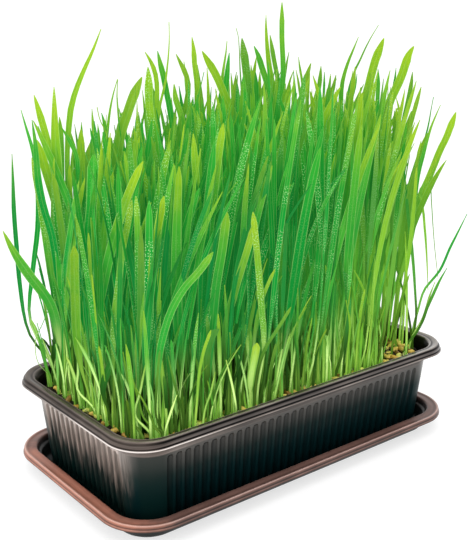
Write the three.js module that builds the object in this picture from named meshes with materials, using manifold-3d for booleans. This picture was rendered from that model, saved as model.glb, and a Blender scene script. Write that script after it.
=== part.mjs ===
// A tray of wheatgrass: a ribbed grow tray, filled with soil, stands in a drip saucer, and a mat of
// sprouted wheat grains on the soil carries the grass. Millimetres, +Z up. The origin is the middle
// of the saucer's flat underside, and X runs along the tray.
import * as THREE from "three";
import { mergeVertices } from "three/addons/utils/BufferGeometryUtils.js";
import Module from "manifold-3d";

const wasm = await Module();
wasm.setup();

// Driving dimensions.
const TRAY = { length: 200.6, width: 110.6, corner: 18.3 }; // over the rim's trimmed lip
const TRAY_FLOOR = 1.6; // height of the tray's underside, 0.4 above the saucer's floor
const TRAY_RIM = 47.4;
const SAUCER = { length: 205.4, width: 115, corner: 23.4 }; // over the flange
const SAUCER_RIM = 10.8;
const SHEET = 1.3; // wall of both formed trays
const CORNER_TIGHTENING = 0.55; // a ring's corner radius shrinks by this share of its inset
const CORNER_STEPS = 5;
const FIT_GAP = 0.3; // between pieces that touch

// Flutes pressed into the tray's walls.
const FLUTE = { pitch: 4.65, width: 3, depth: 0.6, foot: 4 };
const CUTTER_PROUD = 0.5; // of the wall, so that it cuts clean through the surface
const FLUTES_LONG_WALL = 34;
const FLUTES_SHORT_WALL = 14;
const ARCH_TOP = 36.4; // height of the flutes' round tops
const WALL_AT_ARCH = 7.3; // inset of the outer wall there
const WALL_AT_FLOOR = 10.8;
const FLOOR_EDGE = 1.4; // height of the rounded edge between floor and wall

// Drain holes through the tray's floor.
const DRAIN = { radius: 2.5, sides: 8, columns: 4, rows: 2, columnPitch: 40, rowPitch: 40 };

// Growing medium and sprouted mat. Their edges are broken a little all round.
const SOIL = { top: 39, brokenTop: 0.6, brokenBottom: 1.6 };
const MAT = { bottom: SOIL.top + FIT_GAP, top: 42.3, inset: 9.4, broken: 0.9 };
const GRAIN = {
  length: 6.2,
  width: 3.2,
  height: 2.8,
  above: 0.4, // from the mat's top to a grain's middle
  count: 60,
  spacing: 3.6, // to the next root or grain
  band: 12, // they show along the mat's edge, this far in
};

// Grass: an upright stand, highest a little right of the middle, with a few taller blades, and a few
// at the edge that bow outward.
const STAND = { height: 140, highestX: 25, lowerAtEnds: 22, lowerAtSides: 8, spread: 13 };
const TALL = { share: 0.06, more: 30 };
const LEAN = { outward: 6, spread: 9, power: 1.8 };
const BOWED = { beyond: 0.8, share: 0.16, lean: 22, droop: 0.12 };
const BLADE_COUNT = 392;
const BLADE_SECTIONS = [
  { share: 0, width: 2.7, thickness: 2 },
  { share: 0.3, width: 4.5, thickness: 1.15 },
  { share: 0.7, width: 3.7, thickness: 1.05 },
];
const BLADE_CORNERS = [[-1 / 2, -1 / 3], [1 / 2, -1 / 3], [0, 2 / 3]]; // shares of width and thickness
const BLADE_TWIST = 0.7; // radians from root to tip
const ROOT_DEPTH = 1.4; // how deep a blade is sunk in the mat
const ROOT_MARGIN = 4.5; // from the mat's edge to the nearest root
const BLADE_SPACING = 3.3; // between the midribs of neighbours, at every height but the tips
const TIP_SPACING = 2;
const FAR_APART = 40; // blades whose roots are this far apart can't meet
const MOST_TRIES = 40000;
const RANDOM_SEED = 15;

function seededRandom(seed) {
  let state = seed;
  return () => {
    state = (state + 0x6d2b79f5) | 0;
    let mixed = Math.imul(state ^ (state >>> 15), 1 | state);
    mixed = (mixed + Math.imul(mixed ^ (mixed >>> 7), 61 | mixed)) ^ mixed;
    return ((mixed ^ (mixed >>> 14)) >>> 0) / 4294967296;
  };
}

// A closed geometry as a solid that can be joined and cut.
function solidOf(geometry) {
  const bare = geometry.clone();
  bare.deleteAttribute("normal");
  bare.deleteAttribute("uv");
  const merged = mergeVertices(bare, 1e-4);
  return new wasm.Manifold(
    new wasm.Mesh({
      numProp: 3,
      vertProperties: merged.attributes.position.array,
      triVerts: new Uint32Array(merged.index.array),
    }),
  );
}

function joined(solids) {
  let round = solids;
  while (round.length > 1) {
    const next = [];
    for (let i = 0; i < round.length; i += 2) {
      next.push(i + 1 < round.length ? round[i].add(round[i + 1]) : round[i]);
    }
    round = next;
  }
  return round[0];
}

function meshOf(name, solid, material) {
  const { vertProperties, triVerts } = solid.getMesh();
  const geometry = new THREE.BufferGeometry();
  geometry.setAttribute("position", new THREE.BufferAttribute(vertProperties, 3));
  geometry.setIndex(new THREE.BufferAttribute(triVerts, 1));
  geometry.computeVertexNormals();
  const mesh = new THREE.Mesh(geometry, material);
  mesh.name = name;
  return mesh;
}

// A rounded rectangle, anticlockwise, drawn in from the outline by inset.
function ring(outline, inset) {
  const radius = outline.corner - CORNER_TIGHTENING * inset;
  const x = outline.length / 2 - inset - radius;
  const y = outline.width / 2 - inset - radius;
  const centres = [[x, y], [-x, y], [-x, -y], [x, -y]];
  const points = [];
  centres.forEach(([cx, cy], quarter) => {
    for (let step = 0; step <= CORNER_STEPS; step += 1) {
      const angle = ((quarter + step / CORNER_STEPS) * Math.PI) / 2;
      points.push([cx + radius * Math.cos(angle), cy + radius * Math.sin(angle)]);
    }
  });
  return points;
}

// A solid swept round the outline. The profile's [inset, height] points run from the underside, up
// the outside and over to the top or the inner floor, and both ends close on the middle.
function sweptSolid(outline, profile) {
  const positions = [];
  const faces = [];
  const count = 4 * (CORNER_STEPS + 1);
  for (const [inset, height] of profile) {
    for (const [x, y] of ring(outline, inset)) positions.push(x, y, height);
  }
  const below = profile.length * count;
  const above = below + 1;
  const last = below - count;
  positions.push(0, 0, profile[0][1], 0, 0, profile.at(-1)[1]);
  for (let j = 0; j < count; j += 1) {
    const k = (j + 1) % count;
    faces.push(below, k, j);
    for (let i = 0; i + 1 < profile.length; i += 1) {
      const low = i * count;
      const high = low + count;
      faces.push(low + j, low + k, high + k, low + j, high + k, high + j);
    }
    faces.push(above, last + j, last + k);
  }
  const geometry = new THREE.BufferGeometry();
  geometry.setAttribute("position", new THREE.Float32BufferAttribute(positions, 3));
  geometry.setIndex(faces);
  return solidOf(geometry);
}

function saucerSolid() {
  const top = SAUCER_RIM;
  return sweptSolid(SAUCER, [
    [9.9, 0],
    [9.2, 0.7],
    [6.4, top - 2.2],
    [1.6, top - 1.3],
    [1.4, top - 2.2],
    [0, top - 2.8],
    [0, top - 2.1],
    [0.3, top - 1.8],
    [0.4, top - 0.3],
    [1, top],
    [3.4, top - 0.25],
    [6.1, top],
    [6.7, top - 0.6],
    [7.5, top - 2.9],
    [8.5, top - 3.3],
    [10.1, 2],
    [10.9, 1.2],
  ]);
}

// Outer and inner wall of the tray at a height, as insets from the rim's lip.
function outerWall(height) {
  const fall = (ARCH_TOP - height) / (ARCH_TOP - TRAY_FLOOR);
  return WALL_AT_ARCH + (WALL_AT_FLOOR - WALL_AT_ARCH) * fall;
}

function innerWall(height) {
  return outerWall(height) + SHEET;
}

// One flute as a cutter: a tongue with a round top, standing in the wall's plane.
function fluteCutter() {
  const half = FLUTE.width / 2;
  const reach = ARCH_TOP - FLUTE.foot;
  const tongue = new THREE.Shape();
  tongue.moveTo(-half, -reach);
  tongue.lineTo(half, -reach);
  tongue.lineTo(half, -half);
  tongue.absarc(0, -half, half, 0, Math.PI, false);
  return new THREE.ExtrudeGeometry(tongue, {
    depth: FLUTE.depth + CUTTER_PROUD,
    bevelEnabled: false,
    curveSegments: 2,
  });
}

function fluteCutters() {
  const taper = (WALL_AT_FLOOR - WALL_AT_ARCH) / (ARCH_TOP - TRAY_FLOOR);
  const walls = [
    { angle: 0, half: TRAY.length / 2, count: FLUTES_SHORT_WALL },
    { angle: 0.5, half: TRAY.width / 2, count: FLUTES_LONG_WALL },
    { angle: 1, half: TRAY.length / 2, count: FLUTES_SHORT_WALL },
    { angle: 1.5, half: TRAY.width / 2, count: FLUTES_LONG_WALL },
  ];
  const cutters = [];
  for (const { angle, half, count } of walls) {
    const outward = new THREE.Vector3(Math.cos(angle * Math.PI), Math.sin(angle * Math.PI), 0);
    const along = new THREE.Vector3(-outward.y, outward.x, 0);
    const upWall = new THREE.Vector3(0, 0, 1).addScaledVector(outward, taper).normalize();
    const offWall = new THREE.Vector3().crossVectors(along, upWall);
    for (let i = 0; i < count; i += 1) {
      const place = new THREE.Matrix4().makeBasis(along, upWall, offWall);
      const middle = new THREE.Vector3(0, 0, ARCH_TOP);
      middle.addScaledVector(outward, half - WALL_AT_ARCH);
      middle.addScaledVector(along, (i - (count - 1) / 2) * FLUTE.pitch);
      middle.addScaledVector(offWall, -FLUTE.depth);
      cutters.push(solidOf(fluteCutter().applyMatrix4(place.setPosition(middle))));
    }
  }
  return cutters;
}

function drainCutters() {
  const cutters = [];
  for (let column = 0; column < DRAIN.columns; column += 1) {
    for (let row = 0; row < DRAIN.rows; row += 1) {
      const hole = new THREE.CylinderGeometry(DRAIN.radius, DRAIN.radius, 4 * SHEET, DRAIN.sides);
      hole.rotateX(Math.PI / 2);
      hole.translate(
        (column - (DRAIN.columns - 1) / 2) * DRAIN.columnPitch,
        (row - (DRAIN.rows - 1) / 2) * DRAIN.rowPitch,
        TRAY_FLOOR + SHEET / 2,
      );
      cutters.push(solidOf(hole));
    }
  }
  return cutters;
}

function traySolid() {
  const top = TRAY_RIM;
  const floor = TRAY_FLOOR + SHEET;
  const shell = sweptSolid(TRAY, [
    [WALL_AT_FLOOR + FLOOR_EDGE, TRAY_FLOOR],
    [outerWall(TRAY_FLOOR + FLOOR_EDGE), TRAY_FLOOR + FLOOR_EDGE],
    [WALL_AT_ARCH, ARCH_TOP],
    [6, top - 2.8],
    [1.6, top - 1.7],
    [1.3, top - 3.4],
    [0, top - 3.9],
    [0, top - 3.2],
    [0.6, top - 2.9],
    [0.8, top - 0.5],
    [1.4, top],
    [4.4, top - 0.6],
    [5.4, top - 1.1],
    [6.6, top - 2.8],
    [innerWall(ARCH_TOP), ARCH_TOP],
    [innerWall(floor + FLOOR_EDGE), floor + FLOOR_EDGE],
    [innerWall(floor) + FLOOR_EDGE, floor],
  ]);
  return shell.subtract(joined([...fluteCutters(), ...drainCutters()]));
}

function soilSolid() {
  const bottom = TRAY_FLOOR + SHEET + FIT_GAP;
  const inset = innerWall(ARCH_TOP) + FIT_GAP;
  return sweptSolid(TRAY, [
    [innerWall(bottom) + SOIL.brokenBottom, bottom],
    [innerWall(bottom + SOIL.brokenBottom) + FIT_GAP, bottom + SOIL.brokenBottom],
    [inset, ARCH_TOP],
    [inset, SOIL.top - SOIL.brokenTop],
    [inset + SOIL.brokenTop, SOIL.top],
  ]);
}

// The middle line of a blade at a share of its height, from its root to its tip.
function bladePoint(blade, share) {
  const out = share ** LEAN.power;
  const rise = share - blade.droop * share ** 3;
  return new THREE.Vector3(
    blade.x + blade.leanX * out,
    blade.y + blade.leanY * out,
    MAT.top + blade.height * rise,
  );
}

// A blade is three-sided: a flat back and a midrib, narrow at the sheath and drawn out to a point.
function bladeSolid(blade) {
  const positions = [];
  for (const { share, width, thickness } of BLADE_SECTIONS) {
    const middle = bladePoint(blade, share);
    const turn = blade.turn + blade.twist * share;
    const across = new THREE.Vector3(Math.cos(turn), Math.sin(turn), 0);
    const facing = new THREE.Vector3(-across.y, across.x, 0);
    if (share === 0) middle.z -= ROOT_DEPTH;
    for (const [side, front] of BLADE_CORNERS) {
      const corner = middle.clone();
      corner.addScaledVector(across, side * width).addScaledVector(facing, front * thickness);
      positions.push(corner.x, corner.y, corner.z);
    }
  }
  const tip = bladePoint(blade, 1);
  positions.push(tip.x, tip.y, tip.z);
  const faces = [0, 2, 1];
  for (let low = 0; low < 6; low += 3) {
    for (let j = 0; j < 3; j += 1) {
      const k = (j + 1) % 3;
      faces.push(low + j, low + k, low + 3 + k, low + j, low + 3 + k, low + 3 + j);
    }
  }
  faces.push(6, 7, 9, 7, 8, 9, 8, 6, 9);
  const geometry = new THREE.BufferGeometry();
  geometry.setAttribute("position", new THREE.Float32BufferAttribute(positions, 3));
  geometry.setIndex(faces);
  return solidOf(geometry);
}

// Whether a point is inside the mat's outline, drawn in by margin.
function onMat(x, y, margin) {
  const inset = MAT.inset + margin;
  const radius = TRAY.corner - CORNER_TIGHTENING * inset;
  const pastX = Math.abs(x) - (TRAY.length / 2 - inset - radius);
  const pastY = Math.abs(y) - (TRAY.width / 2 - inset - radius);
  return Math.hypot(Math.max(pastX, 0), Math.max(pastY, 0)) < radius;
}

function drawBlade(random) {
  const spread = () => random() + random() - 1;
  const halfX = TRAY.length / 2 - MAT.inset;
  const halfY = TRAY.width / 2 - MAT.inset;
  const x = (2 * random() - 1) * halfX;
  const y = (2 * random() - 1) * halfY;
  const edge = Math.max(Math.abs(x) / halfX, Math.abs(y) / halfY);
  const bowed = edge > BOWED.beyond && random() < BOWED.share;
  const outward = LEAN.outward + (bowed ? BOWED.lean : 0);
  const fromHighest = (x - STAND.highestX) / halfX;
  const lower = STAND.lowerAtEnds * fromHighest ** 2 + STAND.lowerAtSides * Math.abs(y / halfY) ** 3;
  const taller = random() < TALL.share ? TALL.more : 0;
  return {
    x,
    y,
    height: STAND.height - lower + taller + STAND.spread * spread(),
    leanX: outward * (x / halfX) ** 3 + LEAN.spread * spread(),
    leanY: outward * (y / halfY) ** 3 + LEAN.spread * spread(),
    droop: bowed ? BOWED.droop : 0,
    turn: Math.PI * random(),
    twist: 2 * BLADE_TWIST * spread(),
  };
}

// Two blades are clear of each other where their middle lines keep apart at every height.
function clearOf(blade, other) {
  if (Math.hypot(blade.x - other.x, blade.y - other.y) > FAR_APART) return true;
  for (const share of [0, 0.3, 0.5, 0.7, 0.9]) {
    const gap = bladePoint(blade, share).sub(bladePoint(other, share));
    if (Math.hypot(gap.x, gap.y) < (share < 0.9 ? BLADE_SPACING : TIP_SPACING)) return false;
  }
  return true;
}

function growBlades(random) {
  const blades = [];
  for (let tries = 0; tries < MOST_TRIES && blades.length < BLADE_COUNT; tries += 1) {
    const blade = drawBlade(random);
    if (!onMat(blade.x, blade.y, ROOT_MARGIN)) continue;
    if (blades.every((other) => clearOf(blade, other))) blades.push(blade);
  }
  return blades;
}

// Plump grains that lie half sunk in the mat between the roots.
function grainSolids(random, blades) {
  const grains = [];
  const taken = blades.map(({ x, y }) => ({ x, y }));
  for (let tries = 0; tries < MOST_TRIES && grains.length < GRAIN.count; tries += 1) {
    const x = (random() - 0.5) * TRAY.length;
    const y = (random() - 0.5) * TRAY.width;
    const clear = taken.every((other) => Math.hypot(other.x - x, other.y - y) > GRAIN.spacing);
    if (!clear || !onMat(x, y, GRAIN.length / 2) || onMat(x, y, GRAIN.band)) continue;
    const grain = new THREE.OctahedronGeometry(1);
    grain.scale(GRAIN.length / 2, GRAIN.width / 2, GRAIN.height / 2);
    grain.rotateZ(Math.PI * random());
    grain.translate(x, y, MAT.top + GRAIN.above);
    grains.push(solidOf(grain));
    taken.push({ x, y });
  }
  return grains;
}

function wheatgrassSolid() {
  const random = seededRandom(RANDOM_SEED);
  const mat = sweptSolid(TRAY, [
    [MAT.inset + MAT.broken, MAT.bottom],
    [MAT.inset, MAT.bottom + MAT.broken],
    [MAT.inset, MAT.top - MAT.broken],
    [MAT.inset + MAT.broken, MAT.top],
  ]);
  const blades = growBlades(random);
  return joined([mat, ...grainSolids(random, blades), ...blades.map(bladeSolid)]);
}

const terracottaPlastic = new THREE.MeshStandardMaterial({
  color: 0xa9796b,
  roughness: 0.42,
  metalness: 0,
});
const taupePlastic = new THREE.MeshStandardMaterial({
  color: 0x6b5f58,
  roughness: 0.35,
  metalness: 0,
});
const darkSoil = new THREE.MeshStandardMaterial({ color: 0x1e1812, roughness: 1, metalness: 0 });
const freshGreen = new THREE.MeshStandardMaterial({ color: 0x5da32f, roughness: 0.5, metalness: 0 });

const group = new THREE.Group();
group.add(meshOf("drip_saucer", saucerSolid(), terracottaPlastic));
group.add(meshOf("grow_tray", traySolid(), taupePlastic));
group.add(meshOf("soil_bed", soilSolid(), darkSoil));
group.add(meshOf("wheatgrass", wheatgrassSolid(), freshGreen));

export default group;
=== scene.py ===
import math
from itertools import product

import bpy
import numpy as np
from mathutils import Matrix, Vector, geometry, noise


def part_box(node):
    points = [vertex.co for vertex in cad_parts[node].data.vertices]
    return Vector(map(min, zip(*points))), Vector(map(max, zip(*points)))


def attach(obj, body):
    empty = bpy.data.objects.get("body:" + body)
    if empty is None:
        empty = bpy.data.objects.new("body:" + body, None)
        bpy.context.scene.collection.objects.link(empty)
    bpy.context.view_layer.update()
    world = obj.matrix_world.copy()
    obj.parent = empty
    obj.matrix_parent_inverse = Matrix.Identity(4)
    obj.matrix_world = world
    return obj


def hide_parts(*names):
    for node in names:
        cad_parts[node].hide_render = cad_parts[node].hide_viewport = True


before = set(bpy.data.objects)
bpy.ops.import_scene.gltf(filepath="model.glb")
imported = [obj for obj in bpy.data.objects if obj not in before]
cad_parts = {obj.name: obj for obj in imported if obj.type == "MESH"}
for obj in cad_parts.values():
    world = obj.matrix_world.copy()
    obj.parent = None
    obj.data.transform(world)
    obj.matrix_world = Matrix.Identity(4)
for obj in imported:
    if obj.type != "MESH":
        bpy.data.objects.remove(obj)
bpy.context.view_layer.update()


# The studio: a wide pale floor under an even white sky, with a soft lamp low on the left and a
# weaker one overhead. The camera stands off the tray's front left corner, a little above it.

MM = 0.001
CAMERA_PLACE = Vector((-267.4, -330.1, 212.65)) * MM
CAMERA_AZIMUTH = math.radians(-38.516)
CAMERA_ELEVATION = math.radians(15.838)
PICTURE = {"width": 468, "height": 540, "focal_length": 899.47}  # pixels
SENSOR = 36  # mm
FLOOR = {"half": 30000, "top": -0.1}  # mm
FLOOR_TONE = (0.40, 0.40, 0.40)
FLOOR_GLOW = 0.66
SKY_STRENGTH = 1.2


class Finish:
    """A material and its node tree, with one method for every node."""

    def __init__(self, name, tree=None):
        if tree is None:
            self.material = bpy.data.materials.new(name)
            self.material.use_nodes = True
            tree = self.material.node_tree
        self.tree = tree
        self.tree.nodes.clear()

    def node(self, kind, settings=None, inputs=None, output=0):
        made = self.tree.nodes.new(kind)
        for key, value in (settings or {}).items():
            if key == "stops":
                ramp = made.color_ramp.elements
                while len(ramp) < len(value):
                    ramp.new(1.0)
                for element, (position, colour) in zip(ramp, value):
                    element.position = position
                    element.color = (*colour, 1.0)
            else:
                setattr(made, key, value)
        for key, value in (inputs or {}).items():
            socket = made.inputs[key]
            if isinstance(value, Varying):
                self.tree.links.new(value.socket, socket)
            elif hasattr(value, "__len__") and len(value) == 3 and socket.type == "RGBA":
                socket.default_value = (*value, 1.0)
            else:
                socket.default_value = value
        return Varying(self, made.outputs[output] if made.outputs else None)

    def mix(self, first, second, share):
        """Two colours mixed: share 0 is the first and 1 the second."""
        return self.node("ShaderNodeMix", {"data_type": "RGBA"}, {0: share, 6: first, 7: second}, 2)

    def layers(self, colour, *over):
        """A colour with others laid over it in turn, each by its own share."""
        for other, share in over:
            colour = self.mix(colour, other, share)
        return colour

    def ramp(self, value, stops):
        return self.node("ShaderNodeValToRGB", {"stops": stops}, {0: value})

    def place(self):
        """Where a point of the surface is, in millimetres."""
        at = self.node("ShaderNodeNewGeometry")
        return self.node("ShaderNodeVectorMath", {"operation": "SCALE"}, {0: at, "Scale": 1 / MM})

    def stretched(self, place, shares):
        """A place whose x, y and z are multiplied by shares, to draw a texture out."""
        return self.node("ShaderNodeVectorMath", {"operation": "MULTIPLY"}, {0: place, 1: shares})

    def part(self, vector, axis):
        return self.node("ShaderNodeSeparateXYZ", inputs={0: vector}, output=axis)

    def attribute(self, name):
        return self.node("ShaderNodeAttribute", {"attribute_name": name}, output=2)

    def grain(self, place, size, detail=2.0, roughness=0.5):
        """Soft noise from 0 to 1 whose lumps are about size millimetres across."""
        inputs = {"Vector": place, "Scale": 1 / size, "Detail": detail, "Roughness": roughness}
        return self.node("ShaderNodeTexNoise", inputs=inputs)

    def surface(self, inputs, relief=None, strength=0, depth=0):
        """The finished material, with a fine relief, depth millimetres deep, where there is one."""
        if relief is not None:
            bump = {"Strength": strength, "Distance": depth * MM, "Height": relief}
            inputs = {**inputs, "Normal": self.node("ShaderNodeBump", inputs=bump)}
        shader = self.node("ShaderNodeBsdfPrincipled", inputs=inputs)
        self.node("ShaderNodeOutputMaterial", inputs={"Surface": shader})
        return self.material


class Varying:
    """A value or colour that changes over a surface."""

    def __init__(self, finish, socket):
        self.finish = finish
        self.socket = socket

    def maths(self, operation, *others):
        values = dict(enumerate((self, *others)))
        return self.finish.node("ShaderNodeMath", {"operation": operation}, values)

    def __add__(self, other):
        return self.maths("ADD", other)

    def __sub__(self, other):
        return self.maths("SUBTRACT", other)

    def __rsub__(self, other):
        return (self * -1.0).maths("ADD", other)

    def __mul__(self, other):
        return self.maths("MULTIPLY", other)

    def __truediv__(self, other):
        return self.maths("DIVIDE", other)

    def __abs__(self):
        return self.maths("ABSOLUTE")

    __radd__ = __add__
    __rmul__ = __mul__

    def between(self, low, high):
        """0 below low, 1 above high, and smooth in between."""
        settings = {"interpolation_type": "SMOOTHSTEP"}
        inputs = {"Value": self, "From Min": low, "From Max": high}
        return self.finish.node("ShaderNodeMapRange", settings, inputs)


def link(item):
    bpy.context.scene.collection.objects.link(item)
    return item


def mesh_object(name, points, faces, material):
    """An object with smooth shading, from points in millimetres, and faces."""
    mesh = bpy.data.meshes.new(name)
    mesh.from_pydata((np.asarray(points, float) * MM).tolist(), [], faces)
    mesh.materials.append(material)
    mesh.shade_smooth()
    return link(bpy.data.objects.new(name, mesh))


floor_paint = Finish("floor_paint").surface(
    {
        "Base Color": FLOOR_TONE,
        "Roughness": 0.9,
        "Specular IOR Level": 0.0,
        "Emission Color": (1.0, 1.0, 1.0),
        "Emission Strength": FLOOR_GLOW,
    }
)
floor_corners = [
    (x * FLOOR["half"], y * FLOOR["half"], FLOOR["top"]) for x, y in ((-1, -1), (1, -1), (1, 1), (-1, 1))
]
studio_floor = mesh_object("studio_floor", floor_corners, [(0, 1, 2, 3)], floor_paint)

world = bpy.data.worlds.new("studio_sky")
world.use_nodes = True
sky = Finish("studio_sky", world.node_tree)
sky_light = sky.node("ShaderNodeBackground", inputs={"Color": (1.0, 1.0, 1.0), "Strength": SKY_STRENGTH})
sky.node("ShaderNodeOutputWorld", inputs={"Surface": sky_light})
bpy.context.scene.world = world
bpy.context.scene.view_settings.view_transform = "Standard"
bpy.context.scene.view_settings.look = "None"


def soft_lamp(name, place, aim, size, power):
    lamp = bpy.data.lights.new(name, "AREA")
    lamp.size = size
    lamp.energy = power
    holder = link(bpy.data.objects.new(name, lamp))
    holder.location = Vector(place) * MM
    toward = Vector(aim) * MM - holder.location
    holder.rotation_euler = toward.to_track_quat("-Z", "Y").to_euler()


soft_lamp("lamp_left", place=(-900, -250, 330), aim=(0, 0, 60), size=0.7, power=2.2)
soft_lamp("lamp_above", place=(-250, -350, 1100), aim=(0, 0, 80), size=0.9, power=2.5)

camera = link(bpy.data.objects.new("camera", bpy.data.cameras.new("camera")))
camera.data.sensor_width = SENSOR
camera.data.lens = SENSOR * PICTURE["focal_length"] / PICTURE["height"]
camera.location = CAMERA_PLACE
camera.rotation_euler = (math.pi / 2 - CAMERA_ELEVATION, 0, CAMERA_AZIMUTH)
bpy.context.scene.camera = camera


# The drip saucer: one sheet of terracotta-brown plastic, drawn over a mould into a shallow well
# with a raised flange round it. Its edge is trimmed, and the well is painted dark, as shade.

SAUCER_CORNER = 23.4
SAUCER_TIGHTENING = 1.0  # a ring's corner radius shrinks by this share of its inset
SAUCER_LIT_LEFT = (78.0, 106.0)  # mm left of the middle, over which the brown is painted lighter and salmon, as lit from the left
SAUCER_WELL_SHADE = (4.2, 0.9)  # mm under the rim, between which the well's painted shade ends
CORNER_STEPS = 22
CUT_SHARE = 0.45  # of a side of a profile, at most, that a rounded corner may take
saucer_low, saucer_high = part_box("drip_saucer")


def outline_of(low, high, corner, tightening):
    """The plan of a rounded rectangle, in millimetres."""
    half = (high - low) / 2 / MM
    return {"x": half.x, "y": half.y, "corner": corner, "tightening": tightening}


def corner_stations(quarter, steps):
    """Places round one corner of a plan, each a side of x, a side of y and the way it faces."""
    sides = ((1, 1), (-1, 1), (-1, -1), (1, -1))[quarter]
    turns = [(quarter + step / steps) * math.pi / 2 for step in range(steps + 1)]
    return [(*sides, turn) for turn in turns]


def ring(plan, inset, stations, sunk=0):
    """The stations' points on a plan drawn in by inset, pressed further in by sunk."""
    radius = plan["corner"] - plan["tightening"] * inset
    x = plan["x"] - inset - radius
    y = plan["y"] - inset - radius
    side_x, side_y, turn = np.array(stations).T
    reach = radius - sunk
    return np.stack([side_x * x + reach * np.cos(turn), side_y * y + reach * np.sin(turn)], 1)


def hung_from(rim, *points):
    """Profile points of inset, height and tone, from points of inset, drop from the rim and tone."""
    return [(inset, rim - drop, tone) for inset, drop, tone in points]


def rounded(profile, radius, steps=3):
    """A profile, points of inset, height and tone, with each corner replaced by a short curve."""
    points = [np.array(point, float) for point in profile]
    made = [points[0]]
    for before, here, after in zip(points, points[1:], points[2:]):
        back, ahead = before - here, after - here
        start = here + back * min(CUT_SHARE, radius / np.linalg.norm(back[:2]))
        end = here + ahead * min(CUT_SHARE, radius / np.linalg.norm(ahead[:2]))
        for step in range(steps + 1):
            share = step / steps
            made.append((1 - share) ** 2 * start + 2 * share * (1 - share) * here + share**2 * end)
    return made + [points[-1]]


def ring_faces(rows, count):
    """Quads between closed rings of count points that go inward and up from the first."""
    here = np.arange(count)
    after = (here + 1) % count
    faces = []
    for row in range(rows - 1):
        low, high = row * count, (row + 1) * count
        quads = np.stack([low + here, low + after, high + after, high + here], 1)
        faces.extend(quads.tolist())
    return faces


def with_values(piece, **values):
    """Numbers kept on a piece's points for its material to read."""
    for name, numbers in values.items():
        made = piece.data.attributes.new(name, "FLOAT", "POINT")
        made.data.foreach_set("value", np.asarray(numbers, np.float32).ravel())
    return piece


saucer_plan = outline_of(saucer_low, saucer_high, SAUCER_CORNER, SAUCER_TIGHTENING)
saucer_rim = saucer_high.z / MM
saucer_stations = [s for quarter in range(4) for s in corner_stations(quarter, CORNER_STEPS)]
# Each point's tone paints the sheet's lines: high tones are painted highlights on the beads, low ones
# painted shade in the grooves, under the flange and down in the well.
saucer_profile = rounded(
    [
        (9.9, 0, 0.1), (9.2, 0.7, 0.15),
        *hung_from(
            saucer_rim,
            (6.4, 2.2, 0.1), (1.6, 1.3, 0.1), (1.4, 2.2, 0.1), (0, 2.9, 0.0), (0, 2.2, 0.55),
            (0.3, 1.9, 0.7), (0.5, 1.6, 0.05), (0.4, 1.2, 0.25), (0.5, 0.4, 0.55), (1, 0, 1.0),
            (1.7, 0.2, 0.6), (2.3, 0.45, 0.35), (3.8, 0.35, 0.55), (5.5, 0.1, 0.45), (6.1, 0.1, 0.5),
            (6.7, 0.6, 0.2), (7.5, 2.9, 0.0), (8.5, 3.3, 0.3), (8.9, 3.9, 0.0),
        ),
        (10.1, 2, 0.0), (10.9, 1.2, 0.0),
    ],
    radius=0.5,
)
around = len(saucer_stations)
saucer_rows = [
    np.column_stack([ring(saucer_plan, inset, saucer_stations), np.full(around, z)])
    for inset, z, tone in saucer_profile
]
saucer_faces = ring_faces(len(saucer_rows), around)
saucer_faces.append(list(range(around))[::-1])
saucer_faces.append([(len(saucer_rows) - 1) * around + step for step in range(around)])

terracotta = Finish("terracotta_plastic")
place = terracotta.place()
tone = terracotta.attribute("tone")
height = terracotta.part(place, 2)
mottle = terracotta.grain(place, 14.0, 4.0)
scuffs = terracotta.grain(place, 0.9, 3.0)
# painted light: the left end, which faces the lamp, takes a lit copy of the brown
lit_left = (terracotta.part(place, 0) * -1.0 + mottle * 50.0 - 25.0).between(*SAUCER_LIT_LEFT)
# the brown, lightened by tone into painted highlights and darkened into painted shade
brown = terracotta.ramp(
    tone + (mottle - 0.5) * 0.35,
    [
        (0.03, (0.006, 0.004, 0.0035)), (0.22, (0.046, 0.027, 0.022)), (0.45, (0.115, 0.062, 0.050)),
        (0.62, (0.185, 0.100, 0.082)), (0.85, (0.46, 0.31, 0.27)),
    ],
)
lit_salmon = terracotta.ramp(
    tone,
    [
        (0.05, (0.030, 0.014, 0.010)), (0.25, (0.22, 0.090, 0.062)),
        (0.50, (0.40, 0.155, 0.100)), (1.0, (0.72, 0.44, 0.36)),
    ],
)
# painted shade: the well goes near black below the flange, where the flange and the tray shade it
clear_of_well_shade = (height + mottle * 2.0 - 1.0).between(*(saucer_rim - drop for drop in SAUCER_WELL_SHADE))
saucer_colour = terracotta.mix((0.008, 0.011, 0.010), terracotta.mix(brown, lit_salmon, lit_left), clear_of_well_shade)
saucer_finish = terracotta.surface(
    {"Base Color": saucer_colour, "Roughness": 0.3 + scuffs * 0.16, "Specular IOR Level": 0.25},
    relief=scuffs, strength=0.12, depth=0.2,
)
saucer = with_values(
    mesh_object("saucer_sheet", np.concatenate(saucer_rows), saucer_faces, saucer_finish),
    tone=np.repeat([tone for inset, z, tone in saucer_profile], around),
)
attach(saucer, "root")
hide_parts("drip_saucer")


# The grow tray: one thin sheet of smoky plastic, drawn down into a deep tray. Round-topped flutes
# are pressed into its tapered walls, its rim is rolled over and trimmed, and the floor is drilled.

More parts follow.
